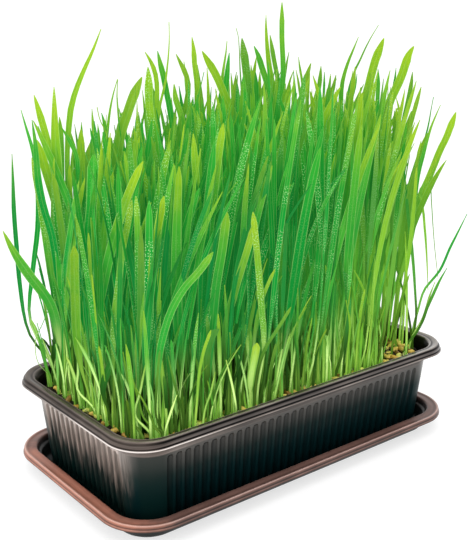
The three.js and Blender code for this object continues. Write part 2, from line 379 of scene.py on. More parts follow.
TRAY_CORNER = 18.3
TRAY_TIGHTENING = 0.55
WALL_AT_ARCH = 7.3  # inset of the outer wall at the flutes' tops
WALL_AT_FLOOR = 10.8
WALL_START = -0.998  # share of a wall's half length: keeps its first station off the corner
ARCH_TOP = 36.4
SHEET = 1.3
FLUTE = {"pitch": 4.65, "half": 1.55, "depth": 0.85, "foot": 3.6, "edge": 0.42}
FLUTES = {"long_wall": 34, "short_wall": 14}
FLUTE_COLUMNS = (-2.32, -1.55, -1.34, -1.1, -0.55, 0.55, 1.1, 1.34, 1.55)  # across one flute
FLUTE_ROWS = (4, 4.7, 5.6, 9, 15, 22, 29)
ARCH_ROWS = (33.6, 34.85, 35.2, 35.5, 35.75, 35.95, 36.12, 36.27, 36.4, 36.6)
SHADOW = {"line": 1.4, "over_arch": 0.6, "soft": 0.2, "fades": 0.6}  # mm: the painted shadow along a flute's edge
SHADOW_DEPTH = {"plain": 0.6, "turned": 0.7, "least": 0.15, "hollow": 0.32, "begins": 0.5}
DRAIN = {"radius": 2.5, "columns": (-60, -20, 20, 60), "rows": (-20, 20), "steps": 24}
tray_low, tray_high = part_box("grow_tray")
tray_floor = tray_low.z / MM
tray_rim = tray_high.z / MM
tray_plan = outline_of(tray_low, tray_high, TRAY_CORNER, TRAY_TIGHTENING)


def outer_wall(z):
    """Inset of the outer wall at a height under the flutes' tops."""
    return WALL_AT_ARCH + (WALL_AT_FLOOR - WALL_AT_ARCH) * (ARCH_TOP - z) / (ARCH_TOP - tray_floor)


def wall_station(quarter, corner_end, share):
    """A station on the wall that follows a corner, at a share of half the wall's length."""
    side_x, side_y, turn = corner_end
    if quarter % 2:
        return side_x, math.cos(turn) * share, turn
    return -math.sin(turn) * share, side_y, turn


def fluted_stations():
    """Stations round the tray, close together at each flute, with each one's distance from the
    flute's middle and the side of it, where there is one, that the light doesn't reach."""
    corner = tray_plan["corner"] - TRAY_TIGHTENING * WALL_AT_ARCH
    stations, offsets, dark_sides = [], [], []
    for quarter in range(4):
        stations += corner_stations(quarter, CORNER_STEPS)
        offsets += [FLUTE["pitch"]] * (CORNER_STEPS + 1)
        dark_sides += [0] * (CORNER_STEPS + 1)
        corner_end = stations[-1]
        flutes = FLUTES[("long_wall", "short_wall")[quarter % 2]]
        straight = tray_plan[("x", "y")[quarter % 2]] - WALL_AT_ARCH - corner
        for index in range(flutes):
            for column in FLUTE_COLUMNS:
                along = (index - (flutes - 1) / 2) * FLUTE["pitch"] + column
                stations.append(wall_station(quarter, corner_end, max(along / straight, WALL_START)))
                offsets.append(column)
                dark_sides.append(round(math.sin(corner_end[2])))
    return stations, np.array(offsets), np.array(dark_sides)


def pressed(offsets, z):
    """How deep the flutes are pressed in at a height, for each station's distance from a flute."""
    past_arch = max(z - (ARCH_TOP - FLUTE["half"]), 0)
    inside = np.minimum(FLUTE["half"] - np.hypot(offsets, past_arch), (z - FLUTE["foot"]) / 2)
    share = np.clip(inside / FLUTE["edge"], 0, 1)
    return FLUTE["depth"] * share * share * (3 - 2 * share)


def flute_shadow(offsets, dark_sides, z):
    """How dark a flute's edge is: darkest along its top and down the side away from the light."""
    past_arch = max(z - (ARCH_TOP - FLUTE["half"]), 0)
    reach = np.maximum(np.hypot(offsets, past_arch), 0.01)
    inside = FLUTE["half"] - reach
    band = SHADOW["line"] + SHADOW["over_arch"] * min(past_arch / FLUTE["half"], 1)
    line = np.clip((inside + SHADOW["soft"]) / (2 * SHADOW["soft"]), 0, 1)
    line = line * np.clip((band - inside) / SHADOW["fades"], 0, 1)
    toward_dark = (dark_sides * offsets + past_arch) / reach
    plain, least = SHADOW_DEPTH["plain"], SHADOW_DEPTH["least"]
    turned = np.clip(plain + SHADOW_DEPTH["turned"] * toward_dark, least, 1)
    share = np.where(dark_sides == 0, plain, turned)
    hollow = SHADOW_DEPTH["hollow"] * np.abs(dark_sides)
    hollow = hollow * np.clip(inside / SHADOW_DEPTH["begins"], 0, 1)
    return np.maximum(line * share, hollow) * (z > FLUTE["foot"])


tray_stations, tray_offsets, tray_dark_sides = fluted_stations()
# Each point's tone paints the rim's lines: painted highlights on its beads and edges, and painted shade in
# its grooves, under the lip and inside the tray.
rim_profile = rounded(
    [
        (WALL_AT_ARCH, ARCH_TOP + 0.6, 0.5),
        *hung_from(
            tray_rim,
            (6, 2.8, 0.1), (1.6, 1.7, 0.1), (1.3, 3.4, 0.05), (0, 3.9, 0.1), (0, 3.55, 0.85),
            (0.3, 3.3, 0.65), (0.6, 3.1, 0.0), (0.65, 2.6, 0.05), (0.65, 2.4, 0.5), (0.7, 1.6, 0.45),
            (0.95, 1.35, 0.35), (1.2, 1.2, 0.0), (1.35, 0.65, 0.0), (1.6, 0.15, 0.8), (2.2, 0, 0.85),
            (2.9, 0.2, 0.75), (3.6, 0.5, 0.55), (4.4, 0.6, 0.15), (4.8, 0.45, 0.8), (5.3, 0.6, 0.8),
            (5.8, 1.3, 0.15), (6.6, 2.8, 0.1),
        ),
        (outer_wall(ARCH_TOP) + SHEET, ARCH_TOP + 0.5, 0.1),
    ],
    radius=0.3,
    steps=2,
)
foot_profile = [
    (WALL_AT_FLOOR + 1.2, tray_floor),
    (outer_wall(tray_floor + 1.4), tray_floor + 1.4),
    (outer_wall(FLUTE["foot"]), FLUTE["foot"]),
]
tray_profile = rounded(foot_profile, radius=0.8)
tray_profile += [(outer_wall(z), z) for z in (*FLUTE_ROWS, *ARCH_ROWS)]
first_rim_row = len(tray_profile)
tray_profile += rim_profile
last_rim_row = len(tray_profile)
tray_profile += [(outer_wall(z) + SHEET, z) for z in (30, 6, tray_floor + 2.5)]
tray_profile.append((outer_wall(tray_floor + SHEET) + SHEET + 1, tray_floor + SHEET))
count = len(tray_stations)
tray_rows = []
for inset, z, *_ in tray_profile:
    fluted = FLUTE["foot"] < z <= ARCH_ROWS[-1] and len(tray_rows) < first_rim_row
    sunk = pressed(tray_offsets, z) if fluted else 0 * tray_offsets
    plan_points = ring(tray_plan, inset, tray_stations, sunk)
    tray_rows.append(np.column_stack([plan_points, np.full(count, z)]))
tray_points = [tuple(point) for row in tray_rows for point in row]
tray_faces = ring_faces(len(tray_profile), count)


def drilled_plate(outer, z, first, up):
    """Triangles of the floor between the ring that starts at first and the drain holes."""
    radius = DRAIN["radius"]
    turns = [-math.tau * step / DRAIN["steps"] for step in range(DRAIN["steps"])]
    loops = [[Vector((x, y, 0)) for x, y, _ in outer]]
    for x, y in product(DRAIN["columns"], DRAIN["rows"]):
        loops.append([Vector((x + radius * math.cos(t), y + radius * math.sin(t), 0)) for t in turns])
    start = len(tray_points)
    tray_points.extend((p.x, p.y, z) for loop in loops[1:] for p in loop)
    index = list(range(first, first + len(outer))) + list(range(start, len(tray_points)))
    flat = [p for loop in loops for p in loop]
    for a, b, c in geometry.tessellate_polygon(loops):
        upward = (flat[b] - flat[a]).cross(flat[c] - flat[a]).z > 0
        corners = (index[a], index[b], index[c])
        tray_faces.append(corners if upward == up else corners[::-1])
    return start


last_ring = len(tray_points) - count
under = drilled_plate(tray_rows[0], tray_floor, 0, up=False)
over = drilled_plate(tray_rows[-1], tray_floor + SHEET, last_ring, up=True)
for first in range(0, over - under, DRAIN["steps"]):
    for step in range(DRAIN["steps"]):
        here, after = first + step, first + (step + 1) % DRAIN["steps"]
        tray_faces.append((under + here, under + after, over + after, over + here))

RIM_GLINT = {"place": (-100, -48, 42), "reach": (20, 75)}  # where a highlight is painted on the rim's lip
WALL_SLOPE = (WALL_AT_FLOOR - WALL_AT_ARCH) / (ARCH_TOP - tray_floor)
wall_x = tray_plan["x"] - WALL_AT_ARCH
# The left end wall is painted lighter, as lit from the left, and the corners beside it are painted into
# shade.
LIT_END_WALL = (wall_x - 2.4, wall_x + 0.1)  # these four: mm toward the left end
SHADED_CORNER_BEGINS, SHADED_CORNER_ENDS = (wall_x - 20.0, wall_x - 12.0), (wall_x - 4.0, wall_x - 1.6)
DULL_RIM = (wall_x - 12.0, wall_x - 1.0)
END_FLUTES = (31.5, 35.0)  # mm from the middle of the end wall, where its last flutes are
POLISHED = (26.0, 40.0)  # these three: mm up
RIM_BEGINS = (ARCH_TOP + 0.6, ARCH_TOP + 1.4)
LIP_ENDS = (tray_rim - 3.1, tray_rim - 2.7)
smoky = Finish("taupe_plastic")
place = smoky.place()
height = smoky.part(place, 2)
toward_end = smoky.part(place, 0) * -1.0 + (ARCH_TOP - height) * WALL_SLOPE  # taper left out
crease = smoky.attribute("crease")
tone = smoky.attribute("tone")
haze = smoky.grain(place, 22.0, 3.0)
fine = smoky.grain(place, 0.7, 3.0)
drawn = smoky.grain(smoky.stretched(place, (0.9, 0.9, 0.03)), 1.0)
rolled = smoky.grain(smoky.stretched(place, (0.05, 0.05, 2.6)), 1.0)
# painted shade: the walls go dark toward the bottom, which sits in the saucer's shade, and lighter toward
# the rim
wall_height = (height + haze * 5.0 - 2.5) / tray_rim
wall_colour = smoky.ramp(
    wall_height,
    [
        (0.12, (0.001, 0.009, 0.010)), (0.42, (0.001, 0.012, 0.013)), (0.55, (0.008, 0.020, 0.019)),
        (0.68, (0.040, 0.041, 0.037)), (0.80, (0.060, 0.053, 0.046)), (0.90, (0.052, 0.044, 0.038)),
    ],
)
# a lit copy of the wall: painted light on the left end wall, which faces the lamp
lit_end_colour = smoky.ramp(
    wall_height + (drawn - 0.5) * 0.6,
    [
        (0.16, (0.002, 0.013, 0.011)), (0.38, (0.020, 0.026, 0.022)),
        (0.58, (0.22, 0.172, 0.146)), (0.85, (0.50, 0.41, 0.36)),
    ],
)
past_flutes = abs(smoky.part(place, 1)).between(*END_FLUTES)
lit_end_share = toward_end.between(*LIT_END_WALL) * (1.0 - past_flutes * 0.6)
# painted shade round the corners beside the left end wall
corner = toward_end.between(*SHADED_CORNER_BEGINS) * (1.0 - toward_end.between(*SHADED_CORNER_ENDS))
shaded_corner_colour = smoky.mix((0.002, 0.012, 0.011), (0.026, 0.030, 0.026), wall_height.between(0.45, 0.85))
both_places = {0: place, 1: RIM_GLINT["place"]}
from_glint = smoky.node("ShaderNodeVectorMath", {"operation": "DISTANCE"}, both_places, 1)
glint = 1.0 - from_glint.between(*RIM_GLINT["reach"])
# the rim's painted highlight and shade lines, evened out over the left end, with a painted glint added on
# the lip
lip = 1.0 - height.between(*LIP_ENDS)
dull_end = toward_end.between(*DULL_RIM) * (1.0 - lip)
rim_tone = tone + (0.60 - tone) * dull_end * 0.6
rim_lightness = 0.50 + haze * 0.65 + glint * lip * 0.5 - dull_end * 0.1
rim_colour = smoky.ramp(
    rim_tone * rim_lightness + (rolled - 0.5) * 0.3,
    [
        (0.08, (0.002, 0.002, 0.002)), (0.30, (0.034, 0.026, 0.022)), (0.60, (0.170, 0.135, 0.118)),
        (0.82, (0.40, 0.345, 0.315)), (1.0, (0.70, 0.63, 0.60)),
    ],
)
polish = height.between(*POLISHED) * tone.between(0.1, 0.6)
tray_finish = smoky.surface(
    {
        "Base Color": smoky.layers(
            wall_colour,
            (lit_end_colour, lit_end_share),
            (shaded_corner_colour, corner * 0.9),
            # painted shadow along the flutes' tops and dark sides
            ((0.001, 0.002, 0.002), crease * (1.0 - lit_end_share * 0.55)),
            (rim_colour, height.between(*RIM_BEGINS)),
        ),
        "Roughness": 0.26 + fine * 0.14,
        "Specular IOR Level": 0.05,
        "Coat Weight": polish * (1.0 - corner * 0.6) * (1.0 - crease) * (1.0 - dull_end * 0.85),
        "Coat Roughness": 0.12,
    },
    relief=fine, strength=0.1, depth=0.2,
)
tray = mesh_object("grow_tray_sheet", tray_points, tray_faces, tray_finish)
# the painted shadow along each flute's top and the side away from the light
flute_shading = np.zeros(len(tray_points))
# points past the rim keep tone 0.1, painted shade for the inside of the tray
rim_tones = np.full(len(tray_points), 0.1)
for row, (inset, z, *tone) in enumerate(tray_profile):
    here = slice(row * count, (row + 1) * count)
    if FLUTE["foot"] < z <= ARCH_ROWS[-1] and row < first_rim_row:
        flute_shading[here] = flute_shadow(tray_offsets, tray_dark_sides, z)
    if row < last_rim_row:
        rim_tones[here] = tone[0] if tone else 0.5
with_values(tray, crease=flute_shading, tone=rim_tones)
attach(tray, "root")
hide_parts("grow_tray")


# The growing medium: dark peaty soil that fills the tray to a few millimetres under the rim. Its
# top is crumbly, and shows in the gaps of the mat and round its edge.

SOIL_INSET = {"top": 9.2, "bottom": 12.9}
SOIL_LUMPS = {"swell": 0.5, "size": 3.0}
SLAB = {"rings": 26, "steps": 150, "edge_drop": 0.6}  # steps: stations along a long side
soil_low, soil_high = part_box("soil_bed")
soil_top = soil_high.z / MM


def slab_stations(steps):
    """Evenly spread stations round a rounded rectangle."""
    stations = []
    for quarter in range(4):
        stations += corner_stations(quarter, steps // 6)
        corner_end = stations[-1]
        straight = steps // 2 if quarter % 2 else steps
        for step in range(1, straight):
            stations.append(wall_station(quarter, corner_end, 2 * step / straight - 1))
    return stations


def lumpy_slab(name, insets, bottom, top, lumps):
    """A closed slab between two insets from the tray's edge, with a lumpy top."""
    stations = slab_stations(SLAB["steps"])
    edge_ring = ring(tray_plan, insets["top"], stations)
    low_ring = ring(tray_plan, insets["bottom"], stations)
    spine = tray_plan["x"] - tray_plan["y"]
    middle = np.column_stack([np.clip(edge_ring[:, 0], -spine, spine), np.zeros(len(edge_ring))])
    rows = [np.column_stack([flat, np.full(len(flat), bottom)]) for flat in (middle, low_ring)]
    for index in range(SLAB["rings"] + 1):
        share = index / (SLAB["rings"] + 0.02)  # the last ring stops just short of the spine
        flat = edge_ring * (1 - share) + middle * share
        heights = [
            top + lumps["swell"] * (noise.fractal(Vector((x, y, top)) / lumps["size"], 1, 2, 3) - 0.3)
            for x, y in flat
        ]
        drop = SLAB["edge_drop"] if index == 0 else 0
        rows.append(np.column_stack([flat, np.minimum(heights, top) - drop]))
    count = len(stations)
    faces = ring_faces(len(rows), count)
    last = (len(rows) - 1) * count
    faces.append(list(range(last, last + count)))
    faces.append(list(range(count))[::-1])
    return mesh_object(name, np.concatenate(rows), faces, peat_finish)


peat = Finish("growing_medium")
place = peat.place()
clods = peat.grain(place, 2.2, 5.0, 0.7)
specks = peat.grain(place, 0.8, 2.0)
peat_colour = peat.layers(
    (0.006, 0.005, 0.0035),
    ((0.05, 0.028, 0.014), clods.between(0.42, 0.66)),
    ((0.15, 0.11, 0.05), specks.between(0.66, 0.74)),
)
peat_finish = peat.surface(
    {"Base Color": peat_colour, "Roughness": 0.7 + clods * 0.25, "Specular IOR Level": 0.2},
    relief=clods, strength=0.6, depth=0.6,
)
soil = lumpy_slab("soil_crumbs", SOIL_INSET, soil_low.z / MM, soil_top, SOIL_LUMPS)
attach(soil, "root")
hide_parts("soil_bed")


# The sprouted mat: wheat grains sown shoulder to shoulder on the soil, held together by their own
# roots. Each grain has split and thrown up a shoot. Pale rootlets run over and between them.

MAT_BOTTOM = soil_top + 0.3
MAT_TOP = 42.3  # the top of the grains
MAT_INSET = 9.6
ROOTS_UNDER = 0.6  # mm from the grains' top down to the mesh of roots
MAT_LUMPS = {"swell": 1.5, "size": 4.5}
GRAIN = {"length": (5.2, 6.6), "width": 3.1, "height": 2.5, "rings": 7, "round": 6}
GRAIN_SOWN = {"spacing": 4.9, "jitter": 1.3, "margin": 1.5, "tilt": 0.28, "lift": (0.1, 1.2)}
ROOTLET = {"count": 620, "thick": (0.28, 0.5), "length": (5, 13), "segments": 7, "around": 4}
ROOTLET_BEND = {"curl": 0.9, "hump": (0.4, 2.2), "taper": 0.5, "sunk": 0.4, "margin": 0.8}
mat_half = (tray_plan["x"] - MAT_INSET, tray_plan["y"] - MAT_INSET)
mat_corner = tray_plan["corner"] - TRAY_TIGHTENING * MAT_INSET
mat_draws = np.random.default_rng(11)


def on_mat(x, y, margin):
    """Whether a point is on the mat and at least margin from its edge."""
    radius = mat_corner - margin
    over_x = np.maximum(np.abs(x) - (mat_half[0] - mat_corner), 0)
    over_y = np.maximum(np.abs(y) - (mat_half[1] - mat_corner), 0)
    return np.hypot(over_x, over_y) < radius


def scattered(spacing, jitter, margin, draws):
    """Points over the mat on a loose triangular grid."""
    columns = np.arange(-mat_half[0], mat_half[0], spacing)
    rows = np.arange(-mat_half[1], mat_half[1], spacing * math.sqrt(0.75))
    x, y = np.meshgrid(columns, rows)
    x = x + (np.arange(len(rows)) % 2 * spacing / 2)[:, None]
    x = x.ravel() + draws.uniform(-jitter, jitter, x.size)
    y = y.ravel() + draws.uniform(-jitter, jitter, y.size)
    keep = on_mat(x, y, margin)
    return np.column_stack([x[keep], y[keep]])


mat_insets = {"top": MAT_INSET, "bottom": MAT_INSET + 1}
mat = lumpy_slab("sprouted_mat", mat_insets, MAT_BOTTOM, MAT_TOP - ROOTS_UNDER, MAT_LUMPS)

grain_points, grain_faces, grain_tones = [], [], []
sown = scattered(GRAIN_SOWN["spacing"], GRAIN_SOWN["jitter"], GRAIN_SOWN["margin"], mat_draws)
rounds = range(GRAIN["round"])
for x, y in sown:
    length = mat_draws.uniform(*GRAIN["length"])
    turn, tilt = mat_draws.uniform(0, math.tau), mat_draws.normal(0, GRAIN_SOWN["tilt"])
    middle = np.array([x, y, MAT_TOP - GRAIN["height"] / 2 + mat_draws.uniform(*GRAIN_SOWN["lift"])])
    along = np.array([math.cos(turn) * math.cos(tilt), math.sin(turn) * math.cos(tilt), math.sin(tilt)])
    across = np.array([-math.sin(turn), math.cos(turn), 0])
    up = np.cross(along, across)
    grain_tones += [mat_draws.random()] * GRAIN["rings"] * GRAIN["round"]
    first = len(grain_points)
    for row in range(GRAIN["rings"]):
        station = math.cos(math.pi * (row + 0.35) / (GRAIN["rings"] - 0.3))
        girth = (1 - station**2) ** 0.5 * (1 - 0.18 * station)  # the germ end is the thinner
        for step in rounds:
            angle = math.tau * (step + 0.5) / GRAIN["round"]
            side = girth * GRAIN["width"] / 2 * math.cos(angle)
            rise = girth * GRAIN["height"] / 2 * math.sin(angle)
            grain_points.append(along * station * length / 2 + across * side + up * rise + middle)
    starts = [first + row * GRAIN["round"] for row in range(GRAIN["rings"])]
    for low, high in zip(starts[1:], starts):
        for step in rounds:
            after = (step + 1) % GRAIN["round"]
            grain_faces.append((low + step, low + after, high + after, high + step))
    grain_faces.append([starts[0] + step for step in rounds])
    grain_faces.append([starts[-1] + step for step in rounds][::-1])

husk = Finish("grain_husk")
husk_mottle = husk.grain(husk.place(), 1.6, 3.0)
husk_colour = husk.ramp(
    husk.attribute("tone") * 0.8 + husk_mottle * 0.3,
    [
        (0.2, (0.20, 0.10, 0.02)), (0.42, (0.72, 0.44, 0.07)),
        (0.65, (0.98, 0.76, 0.17)), (0.9, (0.78, 0.92, 0.18)),
    ],
)
husk_finish = husk.surface(
    {"Base Color": husk_colour, "Roughness": 0.4 + husk_mottle * 0.2, "Specular IOR Level": 0.35},
    relief=husk_mottle, strength=0.3, depth=0.3,
)
grains = mesh_object("sprouted_grains", grain_points, grain_faces, husk_finish)
with_values(grains, tone=grain_tones)


def tubes(paths, radii, around):
    """Points and faces of closed tubes along paths, an array of tube, point, and x y z."""
    count, length, _ = paths.shape
    tangent = np.gradient(paths, axis=1)
    tangent /= np.linalg.norm(tangent, axis=2, keepdims=True)
    side = np.cross(tangent, np.array([0.31, 0.17, 0.94]))
    side /= np.linalg.norm(side, axis=2, keepdims=True)
    other = np.cross(tangent, side)
    angles = math.tau * np.arange(around) / around
    spread = side[:, :, None] * np.cos(angles)[:, None] + other[:, :, None] * np.sin(angles)[:, None]
    points = paths[:, :, None] + spread * radii[:, :, None, None]
    return points.reshape(-1, 3), strip_faces(count, length, around)


def strip_faces(count, length, around):
    """Quads along count closed tubes, with an end face on both ends of each."""
    step = np.arange(around)
    after = (step + 1) % around
    row = (np.arange(count)[:, None] * length + np.arange(length - 1)).ravel()[:, None] * around
    sides = np.stack([row + step, row + after, row + around + after, row + around + step], -1)
    first = np.arange(count)[:, None] * length * around
    starts = first + step[::-1]
    ends = first + (length - 1) * around + step
    return sides.reshape(-1, 4).tolist() + starts.tolist() + ends.tolist()


rootlet_start = scattered(spacing=2.0, jitter=1.0, margin=1.0, draws=mat_draws)
rootlet_start = rootlet_start[mat_draws.permutation(len(rootlet_start))[: ROOTLET["count"]]]
heading = mat_draws.uniform(0, math.tau, (ROOTLET["count"], 1))
curl = mat_draws.normal(0, ROOTLET_BEND["curl"], (ROOTLET["count"], 1))
reach = mat_draws.uniform(*ROOTLET["length"], (ROOTLET["count"], 1))
share = np.linspace(0, 1, ROOTLET["segments"] + 1)
bearing = heading + curl * share
steps = reach / ROOTLET["segments"]
rootlet_x = rootlet_start[:, :1] + np.cumsum(np.cos(bearing) * steps, 1)
rootlet_y = rootlet_start[:, 1:] + np.cumsum(np.sin(bearing) * steps, 1)
hump = mat_draws.uniform(*ROOTLET_BEND["hump"], (ROOTLET["count"], 1)) * np.sin(math.pi * share)
rootlet_paths = np.stack([rootlet_x, rootlet_y, MAT_TOP - ROOTLET_BEND["sunk"] + hump], 2)
inside = on_mat(rootlet_x, rootlet_y, ROOTLET_BEND["margin"]).all(axis=1)
thickness = mat_draws.uniform(*ROOTLET["thick"], (ROOTLET["count"], 1)) / 2
thickness = thickness * (1 - ROOTLET_BEND["taper"] * share)
root_points, root_faces = tubes(rootlet_paths[inside], thickness[inside], ROOTLET["around"])

root_flesh = Finish("root_flesh")
root_mottle = root_flesh.grain(root_flesh.place(), 2.0, 3.0)
root_colour = root_flesh.mix((0.62, 0.60, 0.34), (0.34, 0.38, 0.14), root_mottle.between(0.35, 0.65))
root_finish = root_flesh.surface(
    {"Base Color": root_colour, "Roughness": 0.45 + root_mottle * 0.2, "Specular IOR Level": 0.3}
)
rootlets = mesh_object("rootlets", root_points, root_faces, root_finish)
for piece in (mat, grains, rootlets):
    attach(piece, "root")
    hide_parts("wheatgrass")


# The stand of young wheat: about a thousand shoots as high as a hand is long. Each is a pale
# rolled sheath with one or two thin blades that leave it at the collar. Low shoots edge the stand.

SHOOTS = {"spacing": 4.05, "jitter": 1.7, "margin": 2.6, "points": 18, "second_share": 0.66}
STAND_HEIGHT = {"top": 137, "left": 113, "right": 120, "middle_x": 25, "edge_drop": 3}
UNEVEN = {"spread": 9, "limits": (-2.4, 1.5)}  # mm that shoots differ in height, and times that at most
ROOT_DEPTH = 0.8  # mm under the grains' top, where a shoot starts
LEAN_OUT = {"length": 5, "width": 6, "spread": 7.5, "power": (1.0, 2.2)}
LEAN_ALL = (5.0, -3.0)  # mm at the tips: the whole stand leans a little to one side
UPRIGHT = {"outward": 4, "inside": 60}  # mm a tip may lean out at the edge, and inside it
KICK = (3, 20)  # mm that a first leaf's tip stands off its shoot
TURNED_BACK = {"beyond": 0.72, "outward": 0.25}  # near the edge, a kick outward goes inward
DROOP = {"least": 0.02, "range": 0.16, "power": 1.5}  # of a leaf's height, how far its tip hangs
WAVE = 1.3  # mm
SHEATH = {"width": (0.8, 1.5), "collar": (0.17, 0.42), "toe": 3.4, "toe_share": 0.12}
BLADE = {"width": (2.4, 4.9), "thick": 0.32, "fold": 0.16, "slow": 0.3, "least": 0.4, "around": 4}
OPENING = {"roll": 0.08, "width": 0.22, "full": 0.4, "first": 0.72}  # how a blade opens past its collar
FACING = {"front": 0.8, "differs": 0.5, "twist": 0.6}  # four blades in five face the front
FIRST_REACH = (0.85, 1.02)  # of its shoot's height, for a first leaf
SECOND_REACH = (0.84, 1.06)
SECOND_LEAF = {
    "turn": 0.7, "spread": 5, "foot": 1.3, "width": 0.9, "opens": 0.3, "roll": 0.6, "tone": 0.9,
}
TIP_SHARE = (0.06, 0.20)  # of a blade's length, over which it narrows to its tip
STAND_TONE = {"plain": 0.12, "left": 0.08, "right": 1.3, "right_from": 0.05, "differs": 0.30}
BACK_TONE = {"behind": 0.2, "paler": 0.16}
DEWY_SHARE = 0.35  # of the shoots
THINNED = {"share": 0.9, "right_of": 61, "before": -22, "behind": 184, "slant": 1.8}
BARE_CORNER = {"share": 0.85, "right_of": 58, "before": -14}  # with few low shoots
BACK_CORNER = {"left_of": -82, "behind": 34}  # where only outer leaves end
UNDERGROWTH = {"count": 700, "band": 10, "height": (24, 78), "width": (0.9, 2.2), "stem": 1.5}
UNDERGROWTH_BEND = {"lean": 0.22, "outward": 5, "droop": 0.1, "collar": 0.2}
UNDERGROWTH_TONE = (0.55, 0.3)  # the mean, and how much they differ
STAND_SPLIT = {"front": (-90, -17), "middle": (-17, 14), "back": (14, 90)}  # mm across the tray
SHADE_DEPTH = (2.5, 8.5)  # mm in from the mat's edge, over which the lower parts of the shoots are painted into shade
THIN_END = {"light": 0.85, "from": -30, "over": 80}  # more light gets in where the stand is thin
stand_draws = np.random.default_rng(5)
leaf_draws = np.random.default_rng(8)


def smooth(value):
    value = np.clip(value, 0, 1)
    return value * value * (3 - 2 * value)


def leaf_mesh(name, paths, turns, widths, rolls, tones, dews, around, starts=0):
    """Closed leaves along paths: widths in mm, and rolls from 0 for a blade to 1 for a sheath.

    A leaf that leaves its shoot part of the way up starts at that share of the shoot."""
    feet = np.abs(paths[:, 0, :2])
    from_edge = np.minimum(mat_half[0] - feet[:, 0], mat_half[1] - feet[:, 1])
    shades = smooth((from_edge - SHADE_DEPTH[0]) / (SHADE_DEPTH[1] - SHADE_DEPTH[0]))
    shades *= 1 - THIN_END["light"] * smooth((paths[:, 0, 0] - THIN_END["from"]) / THIN_END["over"])
    count, length, _ = paths.shape
    tangent = np.gradient(paths, axis=1)
    tangent /= np.linalg.norm(tangent, axis=2, keepdims=True)
    side = np.stack([np.cos(turns[:, 0]), np.sin(turns[:, 0]), 0 * turns[:, 0]], 1)
    sides = []
    for row in range(length):
        here = tangent[:, row]
        side = side - here * (side * here).sum(1, keepdims=True)
        side /= np.linalg.norm(side, axis=1, keepdims=True)
        if row:
            twist = (turns[:, row] - turns[:, row - 1])[:, None]
            side = side * np.cos(twist) + np.cross(here, side) * np.sin(twist)
        sides.append(side)
    sides = np.stack(sides, 1)
    normals = np.cross(sides, tangent)
    angles = math.pi - math.tau * np.arange(around) / around
    across, over = np.round(np.cos(angles), 3), np.round(np.sin(angles), 3)
    half, roll = widths[:, :, None] / 2, rolls[:, :, None]
    thick = np.minimum(BLADE["thick"] / 2 * (1 - roll) + half * roll, half)
    fold = BLADE["fold"] * 2 * half * (1 - roll) * (np.abs(across) ** 1.4 - 0.5)
    points = paths[:, :, None] + sides[:, :, None] * (half * across)[..., None]
    points = points + normals[:, :, None] * (thick * over + fold)[..., None]
    faces = strip_faces(count, length, around)
    piece = mesh_object(name, points.reshape(-1, 3), faces, leaf_finish)
    reach = np.cumsum(np.linalg.norm(np.diff(paths, axis=1, prepend=paths[:, :1]), axis=2), axis=1)
    along = starts + (1 - starts) * reach / reach[:, -1:]
    values = {
        "along": along[:, :, None],
        "across": across,
        "tone": tones[:, None, None],
        "dewy": dews[:, None, None],
        "shaded": shades[:, None, None],
        "pale": leaf_draws.random((count, 1, 1)),
    }
    shape = (count, length, around)
    with_values(piece, **{key: np.broadcast_to(value, shape) for key, value in values.items()})
    ends = np.empty(len(piece.data.edges) * 2, np.int64)
    piece.data.edges.foreach_get("vertices", ends)
    low, high = np.sort(ends.reshape(-1, 2), axis=1).T
    on_edge = (low % around) % (around // 2) == 0
    flat_here = (rolls.reshape(-1)[low // around] < 0.5) & (high - low == around)
    sharp = piece.data.attributes.new("sharp_edge", "BOOLEAN", "EDGE")
    sharp.data.foreach_set("value", on_edge & flat_here)
    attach(piece, "root")
    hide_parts("wheatgrass")


# The leaves glow with these colours: painted light that stands in for light shining through them.
TOP_LIGHT = (0.010, 0.136, 0.012)  # a glow painted on a leaf at the top, for the light a thin leaf passes on from behind it
LIGHT_THROUGH = (0.006, 0.114, 0.014)
FOOT_LIGHT = (0.078, 0.205, 0.022)
SUNNY_LIGHT = (0.090, 0.210, 0.016)
SUNNY = {"begins": (-10.0, 80.0), "ends": (86.0, 98.0), "fades": (45.0, 105.0)}  # mm right, and up
SHEATHS_END = (14.0, 42.0)  # these: mm above the mat, between which something changes
LIGHT_GETS_IN = (9.0, 46.0)
FOOT_LIGHT_ENDS = (5.0, 45.0)
TOP_BEGINS = (70.0, 120.0)
GREEN_SHIFTS = {"deeper": (15.0, 60.0), "paler": (70.0, 125.0)}
GLOOM_ENDS = (30.0, 90.0)
DIM_EASES = (90.0, 120.0)
DEW_BEGINS = (20.0, 40.0)

leafy = Finish("grass")
place = leafy.place()
lengthwise = leafy.part(place, 0)
height = leafy.part(place, 2) - MAT_TOP
along, across, tone, dewy, shaded, pale = map(
    leafy.attribute, ("along", "across", "tone", "dewy", "shaded", "pale")
)
blotch = leafy.grain(place, 9.0, 3.0)
streaks = leafy.grain(leafy.stretched(place, (1.0, 1.0, 0.10)), 0.7, 2.0)
low = 1.0 - height.between(*SHEATHS_END)

